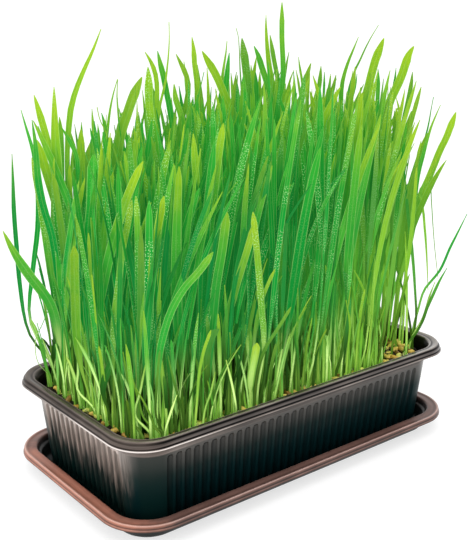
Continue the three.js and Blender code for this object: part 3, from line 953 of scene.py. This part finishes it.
# the greens of a leaf from its foot to its tip, and how far a leaf is from the first to the last
deep_green = leafy.ramp(
    along,
    [
        (0.0, (0.34, 0.62, 0.09)), (0.12, (0.16, 0.40, 0.055)), (0.28, (0.001, 0.22, 0.026)),
        (0.70, (0.001, 0.21, 0.024)), (1.0, (0.030, 0.29, 0.02)),
    ],
)
mid_green = leafy.ramp(
    along,
    [
        (0.0, (0.40, 0.66, 0.10)), (0.14, (0.27, 0.47, 0.06)), (0.35, (0.012, 0.27, 0.024)),
        (0.80, (0.070, 0.31, 0.020)), (1.0, (0.24, 0.38, 0.012)),
    ],
)
lime_green = leafy.ramp(
    along,
    [
        (0.0, (0.46, 0.70, 0.11)), (0.18, (0.34, 0.48, 0.07)), (0.45, (0.17, 0.33, 0.018)),
        (0.80, (0.23, 0.37, 0.012)), (1.0, (0.34, 0.44, 0.006)),
    ],
)
shift = tone + (blotch - 0.5) * 0.4 + height.between(*GREEN_SHIFTS["paler"]) * 0.26
shift = shift - height.between(*GREEN_SHIFTS["deeper"]) * 0.10

# veins, the pale rib, pale margins that are partly a painted edge highlight, and rows of dew drops painted
# as pale glints
veins = (across * 24.0).maths("SINE") * 0.5 + 0.5
lines = veins * 0.10 + streaks.between(0.5, 0.75) * 0.32
rib = 1.0 - abs(across).between(0.04, 0.16)
margin = abs(across).between(0.80, 0.97)
pale_lines = (rib * 0.18 + margin * 0.48) * along.between(0.15, 0.35)
drop_place = {"X": across * 1.9 + pale * 60.0, "Y": height * 0.80}
drop_place = leafy.node("ShaderNodeCombineXYZ", inputs=drop_place)
drops = leafy.node(
    "ShaderNodeTexVoronoi",
    {"voronoi_dimensions": "2D"},
    {"Vector": drop_place, "Scale": 1.0, "Randomness": 0.65},
)
wetted = leafy.grain(place, 14.0, 1.0).between(0.42, 0.58) * height.between(*DEW_BEGINS)
bead = (1.0 - drops.between(0.12, 0.26)) * (0.12 + dewy * 0.88) * wetted

# the painted shade inside the stand, the painted sunlight on its thin end, and painted shade at random on
# some stem feet and on some leaves above them
gloom = shaded * (1.0 - height.between(*GLOOM_ENDS))
open_air = 1.0 - shaded * (1.0 - height.between(*LIGHT_GETS_IN))
sunny_end = lengthwise.between(*SUNNY["begins"]) * (1.0 - lengthwise.between(*SUNNY["ends"]))
sunny_end = sunny_end * (1.0 - height.between(*SUNNY["fades"]))
shaded_foot = (1.0 - pale).between(0.45, 0.85) * low
dim = (1.0 - pale).between(0.45, 1.0) * (1.0 - low)
dim_share = dim * (0.78 - height.between(*DIM_EASES) * 0.4)
sheath_middle = 1.0 - abs(across).between(0.45, 1.0)

# the painted glow, from the feet up to the top and over the thin end
mature_light = leafy.mix(LIGHT_THROUGH, TOP_LIGHT, height.between(*TOP_BEGINS))
light_through = leafy.layers(
    FOOT_LIGHT, (mature_light, height.between(*FOOT_LIGHT_ENDS)), (SUNNY_LIGHT, sunny_end * 0.6)
)
lit_leaf = leafy.layers(
    deep_green,
    (mid_green, shift.between(0.12, 0.45)),
    (lime_green, shift.between(0.45, 0.8)),
    ((0.001, 0.13, 0.02), lines),
    # the pale rib and margins, the margins partly a painted edge highlight, and dew painted as pale glints
    ((0.42, 0.62, 0.20), pale_lines),
    ((0.56, 0.80, 0.40), bead * 0.8),
    ((0.001, 0.075, 0.020), gloom * 0.5),
)
# painted shade: low down, where the stand shades itself, a leaf turns from lit_leaf to near black
leaf_colour = leafy.layers(
    (0.004, 0.020, 0.004),
    (lit_leaf, open_air),
    ((0.20, 0.50, 0.02), sunny_end * 0.3),
    # painted shade, at random, on some stem feet and on some leaves above them
    ((0.004, 0.034, 0.003), shaded_foot * 0.85),
    ((0.000, 0.130, 0.030), dim_share),
    # a painted highlight down the middle of some stems, and painted shade along their sides
    ((0.72, 0.90, 0.34), pale.between(0.5, 0.95) * low * sheath_middle * 0.8),
    ((0.010, 0.055, 0.006), low * (1.0 - sheath_middle) * 0.85),
)
light_share = open_air * (1.0 - dim * 0.25 - shaded_foot * 0.8)
leaf_finish = leafy.surface(
    {
        "Base Color": leaf_colour,
        "Roughness": 0.4 + streaks * 0.2,
        "Specular IOR Level": 0.03,
        "Emission Color": leafy.mix((0.0, 0.0, 0.0), light_through, light_share),
        "Emission Strength": 1.0,
    },
    relief=veins * 0.6 + bead * 0.8, strength=0.25, depth=0.2,
)


def narrowing(share, tip_share, slow=BLADE["slow"]):
    """How a blade narrows, slowly over its outer half and then quickly to its tip."""
    return (1 - slow * smooth((share - 0.45) / 0.55)) * np.clip((1 - share) / tip_share, 0, 1) ** 0.6


def blade_widths(share, collar, sheath, blade, tip_share, slow=BLADE["slow"]):
    """Widths and rolls along leaves that start as a sheath, open at the collar and end in a point."""
    first, past_collar = OPENING["first"], share - collar
    opened = smooth(past_collar / OPENING["width"])
    full = blade * (first + (1 - first) * smooth(past_collar / OPENING["full"]))
    width = (sheath * (1 - opened) + full * opened) * narrowing(share, tip_share, slow)
    return np.maximum(width, BLADE["least"]), 1 - smooth(past_collar / OPENING["roll"])


roots = scattered(SHOOTS["spacing"], SHOOTS["jitter"], SHOOTS["margin"], stand_draws)
at_corner = (roots[:, 0] > THINNED["right_of"]) & (roots[:, 1] < THINNED["before"])
thin_corner = at_corner & (stand_draws.random(len(roots)) < THINNED["share"])
at_back = roots[:, 1] - THINNED["slant"] * roots[:, 0] > THINNED["behind"]
thin_back = at_back & (stand_draws.random(len(roots)) < THINNED["share"])
roots = roots[~(thin_corner | thin_back)]
total = len(roots)
share = 1 - (1 - np.linspace(0, 1, SHOOTS["points"])[None]) ** 1.7
ratio = roots / np.array(mat_half)
side_of = np.sign(ratio)

# how high each shoot stands, and how far it leans
from_middle = roots[:, 0] - STAND_HEIGHT["middle_x"]
on_left = from_middle < 0
fall = STAND_HEIGHT["top"] - np.where(on_left, STAND_HEIGHT["left"], STAND_HEIGHT["right"])
toward = mat_half[0] + np.where(on_left, 1, -1) * STAND_HEIGHT["middle_x"]
stand_height = STAND_HEIGHT["top"] - fall * (from_middle / toward) ** 2
stand_height = stand_height - STAND_HEIGHT["edge_drop"] * np.abs(ratio[:, 1]) ** 3
uneven = np.clip(stand_draws.normal(0, 1, total), *UNEVEN["limits"])
stand_height = stand_height + uneven * UNEVEN["spread"]
lean = np.array([LEAN_OUT["length"], LEAN_OUT["width"]]) * ratio**3
lean = lean + stand_draws.normal(0, LEAN_OUT["spread"], (total, 2)) + np.array(LEAN_ALL)
most_lean = UPRIGHT["outward"] + UPRIGHT["inside"] * (1 - np.abs(ratio))
lean = side_of * np.minimum(side_of * lean, most_lean)

# where its first leaf leaves the sheath, which way, and how it droops and waves
collar = stand_draws.uniform(*SHEATH["collar"], (total, 1))
kick = stand_draws.uniform(*KICK, (total, 1))
kick_turn = stand_draws.uniform(0, math.tau, (total, 1))
kick_way = np.column_stack([np.cos(kick_turn), np.sin(kick_turn)])
near_edge = np.abs(ratio) > TURNED_BACK["beyond"]
outward = (kick_way * ratio * near_edge).sum(1) > TURNED_BACK["outward"]
kick_turn[outward] += math.pi
droop = stand_draws.uniform(0, DROOP["range"], (total, 1)) ** DROOP["power"] + DROOP["least"]
wave = stand_draws.normal(0, WAVE, (total, 2))
toes = stand_draws.normal(0, SHEATH["toe"], (total, 2))
toes = side_of * np.minimum(side_of * toes, SHEATH["toe"] + 30 * (1 - np.abs(ratio)))
bend_power = stand_draws.uniform(*LEAN_OUT["power"], (total, 1))
bend = share**bend_power
past = np.clip((share - collar) / (1 - collar), 0, 1)


def leaf_paths(foot, offsets, rise):
    """Midlines of leaves, from their feet on the mat, offsets across it and rises from it."""
    return np.concatenate([foot[:, None] + offsets, (MAT_TOP - ROOT_DEPTH + rise)[..., None]], 2)


def sway(along, who):
    """How the shoots named by who wave, and curve away from their feet, at shares of their length."""
    waved = np.sin(math.pi * along)[..., None] * wave[who, None]
    return waved + (1 - np.exp(-along / SHEATH["toe_share"]))[..., None] * toes[who, None]


everyone = np.arange(total)
kicked = kick * past**1.4
first_offsets = lean[:, None] * bend[..., None] + sway(share, everyone)
first_offsets += np.stack([kicked * np.cos(kick_turn), kicked * np.sin(kick_turn)], 2)
first_height = stand_height * stand_draws.uniform(*FIRST_REACH, total)
first_leaves = leaf_paths(roots, first_offsets, first_height[:, None] * (share - droop * past**3))
face_turn = stand_draws.uniform(0, math.tau, (total, 1))
faces_front = stand_draws.random((total, 1)) < FACING["front"]
front_turn = CAMERA_AZIMUTH + stand_draws.normal(0, FACING["differs"], (total, 1))
face_turn = np.where(faces_front, front_turn, face_turn)
twist = stand_draws.normal(0, FACING["twist"], (total, 1))


def drawn_between(low, high, power):
    """A value for each shoot, more often near the low one."""
    return low + (high - low) * stand_draws.random((total, 1)) ** power


sheath_width = stand_draws.uniform(*SHEATH["width"], (total, 1))
blade_width = drawn_between(*BLADE["width"], 1.3)
tip_share = drawn_between(*TIP_SHARE, 1.4)
left, right = np.minimum(ratio[:, 0], 0), np.maximum(ratio[:, 0] - STAND_TONE["right_from"], 0)
tones = STAND_TONE["plain"] + STAND_TONE["right"] * right - STAND_TONE["left"] * left
tones = tones + STAND_TONE["differs"] * stand_draws.normal(0, 1, total)
tones = np.clip(tones + BACK_TONE["paler"] * (ratio[:, 1] > BACK_TONE["behind"]), 0, 1)
dews = (stand_draws.random(total) < DEWY_SHARE).astype(float)
first_widths, first_rolls = blade_widths(share, collar, sheath_width, blade_width, tip_share)
first_turn = face_turn + twist * share

# two shoots in three have a second leaf, which leaves the sheath at the collar
paired = np.flatnonzero(stand_draws.random(total) < SHOOTS["second_share"])
second_share = collar[paired] + (1 - collar[paired]) * share
second_height = stand_height[paired] * stand_draws.uniform(*SECOND_REACH, len(paired))
second_bend = second_share ** bend_power[paired]
second_lean = lean[paired] + stand_draws.normal(0, SECOND_LEAF["spread"], (len(paired), 2))
second_offsets = second_lean[:, None] * second_bend[..., None] + sway(second_share, paired)
second_rise = second_height[:, None] * (second_share - droop[paired] * share**3)
second_leaves = leaf_paths(roots[paired], second_offsets, second_rise)
open_up = smooth(share / SECOND_LEAF["opens"])
second_widths = SECOND_LEAF["foot"] + open_up * (
    blade_width[paired] * SECOND_LEAF["width"] - SECOND_LEAF["foot"]
)
second_widths = np.maximum(second_widths * narrowing(share, tip_share[paired]), BLADE["least"])
second_rolls = np.broadcast_to(SECOND_LEAF["roll"] * (1 - open_up), second_widths.shape)
second_turn = face_turn[paired] + SECOND_LEAF["turn"] + twist[paired] * share

# the low shoots round the edge, fewer at the bare front right
short_roots = scattered(spacing=2.0, jitter=1.0, margin=1.6, draws=stand_draws)
near_edge = ~on_mat(*short_roots.T, UNDERGROWTH["band"])
at_corner = (short_roots[:, 0] > BARE_CORNER["right_of"]) & (short_roots[:, 1] < BARE_CORNER["before"])
near_edge &= ~(at_corner & (stand_draws.random(len(short_roots)) < BARE_CORNER["share"]))
short_roots = short_roots[near_edge][stand_draws.permutation(near_edge.sum())]
short_roots = short_roots[: UNDERGROWTH["count"]]
few = len(short_roots)
short_height = stand_draws.uniform(*UNDERGROWTH["height"], (few, 1))
short_lean = stand_draws.normal(0, UNDERGROWTH_BEND["lean"], (few, 1, 2)) * short_height[..., None]
short_side = np.sign(short_roots)[:, None]
short_lean = short_side * np.minimum(short_side * short_lean, UNDERGROWTH_BEND["outward"])
short_rise = short_height * (share - UNDERGROWTH_BEND["droop"] * share**3)
short_leaves = leaf_paths(short_roots, short_lean * bend[:few, :, None], short_rise)
short_width = stand_draws.uniform(*UNDERGROWTH["width"], (few, 1))
short_collar = np.full((few, 1), UNDERGROWTH_BEND["collar"])
short_stem = np.minimum(short_width, UNDERGROWTH["stem"])
short_widths, short_rolls = blade_widths(
    share, short_collar, short_stem, short_width, tip_share[:few]
)
short_tones = np.clip(stand_draws.normal(*UNDERGROWTH_TONE, few), 0, 1)
leaf_mesh(
    "undergrowth", short_leaves, first_turn[:few], short_widths, short_rolls, short_tones, dews[:few],
    BLADE["around"],
)


def off_corner(leaves):
    """Which leaves end clear of the back left corner, where only the outer leaves stand."""
    tip_x, tip_y = leaves[:, -1, 0], leaves[:, -1, 1]
    return (tip_x > BACK_CORNER["left_of"]) | (tip_y < BACK_CORNER["behind"])


for part, (low, high) in STAND_SPLIT.items():
    ours = (roots[:, 1] >= low) & (roots[:, 1] < high)
    mine = ours & off_corner(first_leaves)
    leaf_mesh(
        f"shoots_{part}", first_leaves[mine], first_turn[mine], first_widths[mine], first_rolls[mine],
        tones[mine], dews[mine], BLADE["around"],
    )
    mine = ours[paired] & off_corner(second_leaves)
    leaf_mesh(
        f"second_leaves_{part}", second_leaves[mine], second_turn[mine], second_widths[mine],
        second_rolls[mine], tones[paired][mine] * SECOND_LEAF["tone"], dews[paired][mine],
        BLADE["around"], starts=collar[paired][mine],
    )


# The leaves that stand clear of the crowd: the tall ones, the ones that arch out over the ends,
# and the front row, each rooted in the mat and shaped one by one.

DEEP, DARK, MID, FRESH, BRIGHT, LIME, YELLOW = 0.08, 0.25, 0.42, 0.6, 0.62, 0.8, 1.0  # tones
ROUNDED, BLUNT, POINTED, DRAWN_OUT = 0.05, 0.07, 0.22, 0.3  # share of a leaf over which it ends
SHARP, DEWY = {"end": POINTED}, {"dew": 1}
OUTER = {"segments": 26, "around": 8, "steps": 12, "full_height": 320, "thin": 1.3, "slow": 0.08}
OUTER_FOOT = {"margin": 3.5, "corner_margin": 3, "depth": 1}  # mm from the mat's edge, and in it
OUTER_SHEATH = 1.25
OUTER_SWING = (4, 7)  # mm toward the camera that a tip leans: the mean, and how much they differ
OUTER_TURN = (0.25, 0.2)  # how much leaves differ in the way they face, and in their twist
UPRIGHT_FOOT = (0.05, 0.05, 0.2)  # of the way to the lowest bend, where a leaf still stands straight
outer_draws = np.random.default_rng(3)
right_way = np.array([math.cos(CAMERA_AZIMUTH), math.sin(CAMERA_AZIMUTH), 0])
level_way = np.array([math.sin(CAMERA_AZIMUTH), -math.cos(CAMERA_AZIMUTH), 0])
back_way = level_way * math.cos(CAMERA_ELEVATION) + (0, 0, math.sin(CAMERA_ELEVATION))
up_way = np.cross(back_way, right_way)
eye = np.array(CAMERA_PLACE) / MM


def sight(column, line):
    """The direction in which the camera sees a place in the picture, given in pixels."""
    across = (column - PICTURE["width"] / 2) / PICTURE["focal_length"]
    down = (line - PICTURE["height"] / 2) / PICTURE["focal_length"]
    return right_way * across - up_way * down - back_way


def foot_on_mat(column, row):
    """The point of the mat that is seen in a column, at a distance behind the mat's middle."""
    normal = right_way + back_way * (column - PICTURE["width"] / 2) / PICTURE["focal_length"]
    x = eye[0] - (normal[1] * (row - eye[1]) + normal[2] * (MAT_TOP - eye[2])) / normal[0]
    limit = mat_half[0] - OUTER_FOOT["margin"]
    if abs(row) > mat_half[1] - mat_corner:
        over = abs(row) - (mat_half[1] - mat_corner)
        radius = mat_corner - OUTER_FOOT["corner_margin"]
        limit = mat_half[0] - mat_corner + math.sqrt(max(radius**2 - over**2, 0))
    return np.array([min(max(x, -limit), limit), row, MAT_TOP - OUTER_FOOT["depth"]])


def beside(root, column, line, toward):
    """Where a sight line meets the upright plane through a root, moved toward the camera."""
    way = sight(column, line)
    plane = root + level_way * toward
    return eye + way * ((plane - eye) @ level_way) / (way @ level_way)


def slope(before, here, after):
    """The direction at the middle one of three knots, where the nearer one counts most."""
    back_length, on_length = np.linalg.norm(here - before), np.linalg.norm(after - here)
    way_in, way_out = (here - before) / back_length, (after - here) / on_length
    return (way_in * on_length + way_out * back_length) / (back_length + on_length)


def leaf(
    tip, bends, foot, row, width, tone,
    dew=0, toward=None, end=None, stem=OUTER_SHEATH, opens=0.2, turned=1,
):
    """One leaf, from where its tip and bends are seen, and the column and row of its foot.

    It opens from a stem to its full width at a share of its length, and its end is narrowed over
    another share of it. One that is turned by 0 shows its full width."""
    root = foot_on_mat(foot, row)
    swing = outer_draws.normal(*OUTER_SWING) if toward is None else toward
    places = []
    for column, line in (*reversed(bends), tip):
        rise = 1 - (line - tip[1]) / OUTER["full_height"]
        places.append(beside(root, column, line, swing * rise**2))
    low = root + (places[0] - root) * UPRIGHT_FOOT
    knots = np.array([2 * root - low, root, low, *places, 2 * places[-1] - places[-2]])
    curve = []
    for a, b, c, d in zip(knots, knots[1:], knots[2:], knots[3:]):
        length = np.linalg.norm(c - b)
        leave, arrive = slope(a, b, c) * length, slope(b, c, d) * length
        for t in np.linspace(0, 1, OUTER["steps"], endpoint=False):
            ease = t * t * (3 - 2 * t)
            curve.append(b + (c - b) * ease + t * (1 - t) * ((1 - t) * leave - t * arrive))
    curve = np.array([*curve, knots[-2]])
    reach = np.concatenate([[0], np.cumsum(np.linalg.norm(np.diff(curve, axis=0), axis=1))])
    share = 1 - (1 - np.linspace(0, 1, OUTER["segments"] + 1)) ** 1.6
    path = np.stack([np.interp(share * reach[-1], reach, curve[:, axis]) for axis in range(3)], 1)
    narrowed = end or (POINTED if width < OUTER["thin"] else ROUNDED)
    widths, rolls = blade_widths(share, opens, min(stem, width), width, narrowed, OUTER["slow"])
    facing, twist = (outer_draws.normal(0, spread) for spread in OUTER_TURN)
    return path, CAMERA_AZIMUTH + turned * (facing + twist * share), widths, rolls, tone, dew


# Each leaf: where its tip and then its bends are seen, and the column of its foot, in pixels; the
# row it stands in, in mm behind the middle of the mat; its width in mm; its tone; and what is
# particular about it.
LEFT_END = (
    ((3, 231), ((13, 250), (28, 273), (50, 303), (59, 340)),
     60, 32, 5, BRIGHT, {"end": POINTED, "stem": 1.4, "turned": 0}),
    ((12, 154), ((13, 180), (14, 210), (17, 250), (20, 285), (30, 335)),
     44, 42, 2.3, DARK, {"end": POINTED, "turned": 0.4}),
    ((21, 110), ((26, 127), (34, 155), (38, 190), (38, 225), (33, 270), (30, 320)),
     44, 41, 2.6, DEEP, {"end": POINTED, "turned": 0.4}),
    ((32, 120), ((35, 140), (39, 185), (43, 205), (52, 235), (56, 260)), 64, 30, 3.5, DEEP, SHARP),
    ((33.5, 170), ((37, 182), (42, 205), (50, 235)), 60, 34, 1.5, MID),
    ((34, 95), ((41, 118), (45, 132), (52, 160), (57, 200), (60, 260)), 68, 30, 3.4, LIME, {"end": BLUNT}),
    ((38, 126), ((48, 150), (52, 162), (55, 180)), 64, 32, 1.8, DEEP, SHARP),
    ((37, 140), ((43, 160), (50, 183), (58, 210), (64, 260)), 70, 32, 4.4, YELLOW, {"turned": 0.3}),
    ((54, 87), ((55, 130), (58, 190), (61, 260)),
     66, 22, 5, FRESH, {"dew": 1, "end": POINTED, "turned": 0.3}),
    ((59.5, 117), ((61, 135), (62, 190)), 70, 35, 2.5, MID),
    ((101, 29), ((93, 50), (84, 70), (76, 90), (71, 108), (69, 125), (67, 160), (67, 240)),
     70, 24, 3, LIME, {"end": POINTED, "stem": 0.6, "opens": 0.5}),
    ((62, 128), ((68, 138), (77, 158), (78, 175)), 84, 25, 2, DEEP),
    ((81, 129), ((81, 145), (80, 165), (79, 230)), 84, 15, 3.5, LIME),
    ((90, 143), ((88, 152), (86, 165), (85, 190)), 90, 15, 2.5, LIME),
    ((92, 109), ((93, 125), (95, 160)), 98, 20, 1.5, MID),
    ((98.5, 128), ((98, 145), (97, 160)), 100, 10, 2.5, DEEP),
    ((97, 107), ((100, 120), (105, 130)), 112, 20, 1.2, LIME),
    ((101.5, 113), ((104, 122), (106, 135)), 110, 20, 2, DEEP),
    ((94, 154), ((93, 180), (92, 210), (90, 230)), 92, 0, 5.5, DEEP),
    ((117.5, 79), ((113, 95), (110, 110), (108, 125), (106, 145)), 106, 20, 1.8, MID, SHARP),
    ((117.8, 80), ((117, 95), (118, 110), (120, 130)), 124, 20, 1.6, MID, SHARP),
    ((48, 311), ((42, 325), (36, 338), (37, 360)), 44, 38, 0.5, DEEP),
    ((37, 323), ((41, 337), (45, 352), (46, 362)), 48, 36, 0.5, DEEP),
)
TOP_LEFT = (
    ((142, 77), ((137, 88), (132, 100), (127, 115), (122, 130), (118, 150)), 110, 15, 4.5, LIME),
    ((148, 67), ((149, 80), (149, 95), (150, 110), (153, 130)), 158, 5, 4, MID, DEWY),
    ((138, 140), ((143, 122), (147, 107), (149, 106), (151, 130), (155, 180)), 160, 5, 2.2, MID),
    ((145, 52), ((150, 60), (155, 72), (157, 85), (157, 100), (156, 125)), 152, 25, 2.4, LIME),
    ((157.5, 51), ((160, 63), (163, 75), (166, 90), (169, 105), (174, 145)), 178, 20, 3, DEEP),
    ((169, 22), ((169.3, 40), (168.5, 55), (167, 70), (165, 85), (161, 100), (158, 125)),
     150, 25, 1.4, YELLOW, SHARP),
    ((174, 84), ((176, 100), (180, 112), (184, 130)), 192, 10, 3, MID),
    ((176, 54), ((180, 62), (185, 72), (188, 82), (187, 100), (183, 115)), 176, 20, 2.6, LIME),
    ((192, 37), ((194, 50), (195, 65), (197, 80), (197, 120)), 196, 20, 3.4, LIME),
    ((202, 51), ((207, 60), (213, 70), (219, 82), (225, 97), (229, 105)), 240, 10, 4.3, YELLOW),
    ((207, 68), ((208, 85), (209, 130)), 212, 15, 3, LIME, SHARP),
    ((204, 72), ((201, 85), (197, 100), (190, 115)), 178, 15, 1.6, DEEP, SHARP),
    ((227, 41), ((226, 52), (224, 65), (222, 80), (220, 100), (216, 115)), 206, 25, 2.5, MID, SHARP),
    ((236, 28), ((238, 35), (239, 45), (240, 70), (242, 100)), 245, 30, 1.6, MID, SHARP),
    ((242, 38), ((244, 50), (246, 65), (248, 85), (249, 105), (250, 130)), 254, 20, 5, MID, DEWY),
    ((231, 73), ((232, 85), (233, 120)), 234, 20, 1.6, MID),
    ((236.5, 72), ((235, 82), (233, 100)), 228, 15, 1.6, LIME),
)
TOP_RIGHT = (
    ((251, 65), ((252, 80), (253, 100)), 256, 25, 2, MID),
    ((255.5, 72), ((256, 85), (257, 125)), 260, 20, 3, DEEP),
    ((254, 46), ((258, 55), (262, 68), (266, 80), (269, 92)), 280, 20, 3.3, DEEP, {"turned": 0.3}),
    ((266, 15), ((266, 28), (267, 45), (269, 65), (272, 85), (275, 105)),
     284, 25, 4.6, LIME, {"end": DRAWN_OUT}),
    ((270, 35), ((272, 48), (274, 60), (277, 75)), 290, 30, 2.6, MID),
    ((282, 2), ((282, 20), (282, 40), (283, 60), (283, 80), (281, 100)), 278, 25, 2.8, DARK),
    ((289, 52), ((287, 62), (285, 75)), 276, 30, 1.4, MID),
    ((294, 70), ((291, 77), (288, 87), (283, 100)), 268, 20, 1.6, LIME),
    ((298.5, 57), ((300, 68), (302, 80), (303, 95)), 312, 30, 1.6, MID),
    ((296, 70), ((298, 80), (300, 95)), 306, 25, 1.4, LIME),
    ((311, 63), ((308, 72), (304, 85), (301, 100), (299, 120)), 290, 20, 3, LIME),
    ((321, 66), ((320, 80), (318, 95), (317, 115)), 312, 25, 2.6, MID),
    ((324.5, 72), ((324, 90), (323, 105)), 320, 30, 1.5, DEEP),
    ((336, 75), ((333, 88), (329, 100), (325, 115)), 308, 20, 2.6, LIME),
    ((310, 91), ((312, 100), (314, 112)), 322, 10, 3, YELLOW),
    ((358.5, 37), ((354, 48), (349, 60), (345, 72), (342, 85), (341, 100)), 338, 30, 3, MID, SHARP),
    ((378.5, 25), ((369, 41), (364.5, 50), (360, 60), (355, 70), (351, 82), (345, 110)),
     335, 34, 1.7, MID, SHARP),
    ((357, 74), ((356, 82), (353, 95), (350, 105)), 342, 30, 1.4, DEEP),
    ((384, 38), ((380, 48), (376, 58), (372, 72), (368, 88), (363, 105), (358, 122), (351, 160)),
     342, 10, 4.6, LIME),
    ((378, 69), ((378, 85), (377, 105), (375, 125), (372, 140)), 366, 15, 2.6, DEEP),
    ((388, 76), ((388, 88), (387, 110)), 384, 18, 1.2, MID),
    ((396, 68), ((395, 78), (393, 90)), 384, 12, 1.6, DEEP),
)
RIGHT_END = (
    ((414, 46), ((409, 54), (405, 65), (401, 77), (395, 90), (389, 103), (385, 118), (376, 155)),
     366, 5, 5, LIME),
    ((412.5, 72), ((411, 85), (408, 100), (404, 118), (401, 135)), 390, 0, 2.4, MID),
    ((411.5, 111), ((409, 123), (406, 138), (403, 160), (401, 200)), 398, -15, 3, MID, DEWY),
    ((415, 122), ((411, 133), (407, 147)), 396, -10, 1.4, LIME),
    ((396, 97), ((399, 110), (400, 122)), 402, -15, 1.6, LIME),
    ((396, 108), ((398, 120), (400, 135)), 404, -20, 3, LIME),
    ((433.5, 97), ((431, 110), (429, 122), (426, 135), (423, 145)), 404, -20, 1.3, DEEP, SHARP),
    ((440.5, 105), ((436, 115), (431, 127), (427, 140), (423, 155), (419, 170), (413, 215)),
     404, -20, 2.4, MID, SHARP),
    ((421, 141), ((418, 155), (414, 180)), 408, -25, 1.5, LIME),
    ((456, 112), ((451, 125), (446, 138), (440, 150), (434, 165), (427, 182), (420, 197), (411, 230)),
     404, -24, 3.8, YELLOW),
    ((467, 214), ((458, 232), (449, 250), (444, 262), (440, 270), (433, 279), (426, 287), (418, 310)),
     411, -36, 1.4, DEEP, {"toward": 3, "end": POINTED}),
    ((447, 268), ((440, 280), (432, 297), (427, 308), (423, 320), (418, 330)),
     404, -39, 1.6, DEEP, {"toward": 2, "end": POINTED}),
    ((435, 282), ((430, 295), (424, 315)), 409, -38, 1.1, LIME, {"toward": 2, "end": POINTED}),
    ((438, 277), ((435, 250), (433, 225), (431, 195), (429, 178), (425, 182), (417, 215)),
     408, -28, 1.6, LIME, {"toward": 4, "end": POINTED}),
    ((428, 290), ((427, 260), (425, 230), (421, 200), (417, 190), (413, 205)),
     406, -30, 1.5, LIME, {"toward": 4, "end": POINTED}),
    ((403, 160), ((406, 190), (408, 215), (412, 250), (415, 290), (416, 320)),
     412, -37, 1.7, DEEP, {"toward": 2, "end": POINTED}),
)
FRONT_ROW = (
    ((83, 218), ((82, 247), (83, 285), (84, 318)), 82, 1, 4, LIME, DEWY),
    ((88, 224), ((93, 238), (101, 260), (105, 282), (110, 309)), 116, -12, 3.4, YELLOW),
    ((88.5, 233), ((89.5, 251), (91, 280)), 92, -6, 1.6, LIME),
    ((132, 200), ((128, 224), (122.5, 251), (119, 282), (114.5, 318)), 112, -22, 3, LIME, DEWY),
    ((136, 196), ((137, 220), (138, 290)), 140, -36, 2.4, MID, DEWY),
    ((164, 196), ((159, 224), (153, 260), (147, 287), (143, 305)), 138, -36, 3.6, LIME),
    ((159.5, 238), ((159, 280), (158, 336)), 158, -40, 1.7, LIME, DEWY),
    ((213, 252), ((200, 270), (185, 287), (172, 309), (163, 336)), 157, -42, 3.2, MID),
    ((253, 212), ((257, 252), (261, 300), (264, 347)), 257, -42, 2.8, LIME, DEWY),
    ((219, 329), ((214, 333), (209, 346)), 210, -42, 3.2, LIME),
    ((257, 343), ((255, 355), (252, 370)), 250, -43, 3.6, LIME),
    ((338, 232), ((325, 259), (311, 286), (305, 300)), 297, -36, 5.5, DEEP, DEWY),
    ((255, 222), ((247, 250), (236, 286), (229, 312)), 222, -38, 3.6, LIME),
    ((227, 212), ((222, 250), (216, 286), (212, 330)), 208, -38, 4, MID),
    ((291, 307), ((280, 325), (266, 347)), 254, -42, 1.6, LIME),
    ((275, 269), ((268, 284), (262, 300)), 252, -40, 1.6, LIME),
    ((74, 246), ((75, 300), (77, 340), (80, 362)), 77, -1, 4.2, LIME),
    ((127, 326), ((120, 345), (110, 366), (103, 388)), 99, -18, 3.4, MID),
)
PALE_STEMS = (
    ((79, 322), ((78, 350), (78, 372), (77, 388)), 76, -6, 1.4, LIME),
    ((123, 352), ((127, 375), (131, 400), (132, 420)), 130, -40, 1.2, LIME),
    ((131, 372), ((138, 398), (144, 418)), 147, -44, 1.1, LIME),
    ((146, 362), ((140, 392), (135, 415)), 131, -42, 1.2, LIME),
    ((136, 388), ((147, 408), (154, 424)), 158, -45, 1.0, LIME),
    ((160, 350), ((157, 385), (156, 415)), 155, -44, 1.4, LIME),
    ((177, 395), ((170, 415), (166, 428)), 163, -46, 1.2, LIME),
    ((168, 356), ((175, 385), (182, 410)), 184, -46, 1.2, LIME),
    ((211, 330), ((204, 350), (199, 375), (197, 400)), 195, -46, 1.4, LIME),
    ((226, 360), ((231, 380), (235, 400)), 236, -46, 1.2, LIME),
    ((215, 372), ((211, 392), (205, 410)), 203, -46, 1.1, LIME),
    ((278, 340), ((272, 365), (270, 385)), 268, -46, 1.3, LIME),
    ((312, 318), ((307, 345), (304, 368)), 302, -46, 1.2, LIME),
    ((346, 300), ((350, 325), (348, 350)), 346, -46, 1.2, LIME),
)

outer_leaves = [
    leaf(tip, bends, foot, row, width, tone, **dict(*particular))
    for tip, bends, foot, row, width, tone, *particular in (
        *LEFT_END, *TOP_LEFT, *TOP_RIGHT, *RIGHT_END, *FRONT_ROW, *PALE_STEMS
    )
]
leaf_mesh("outer_leaves", *map(np.array, zip(*outer_leaves)), OUTER["around"])
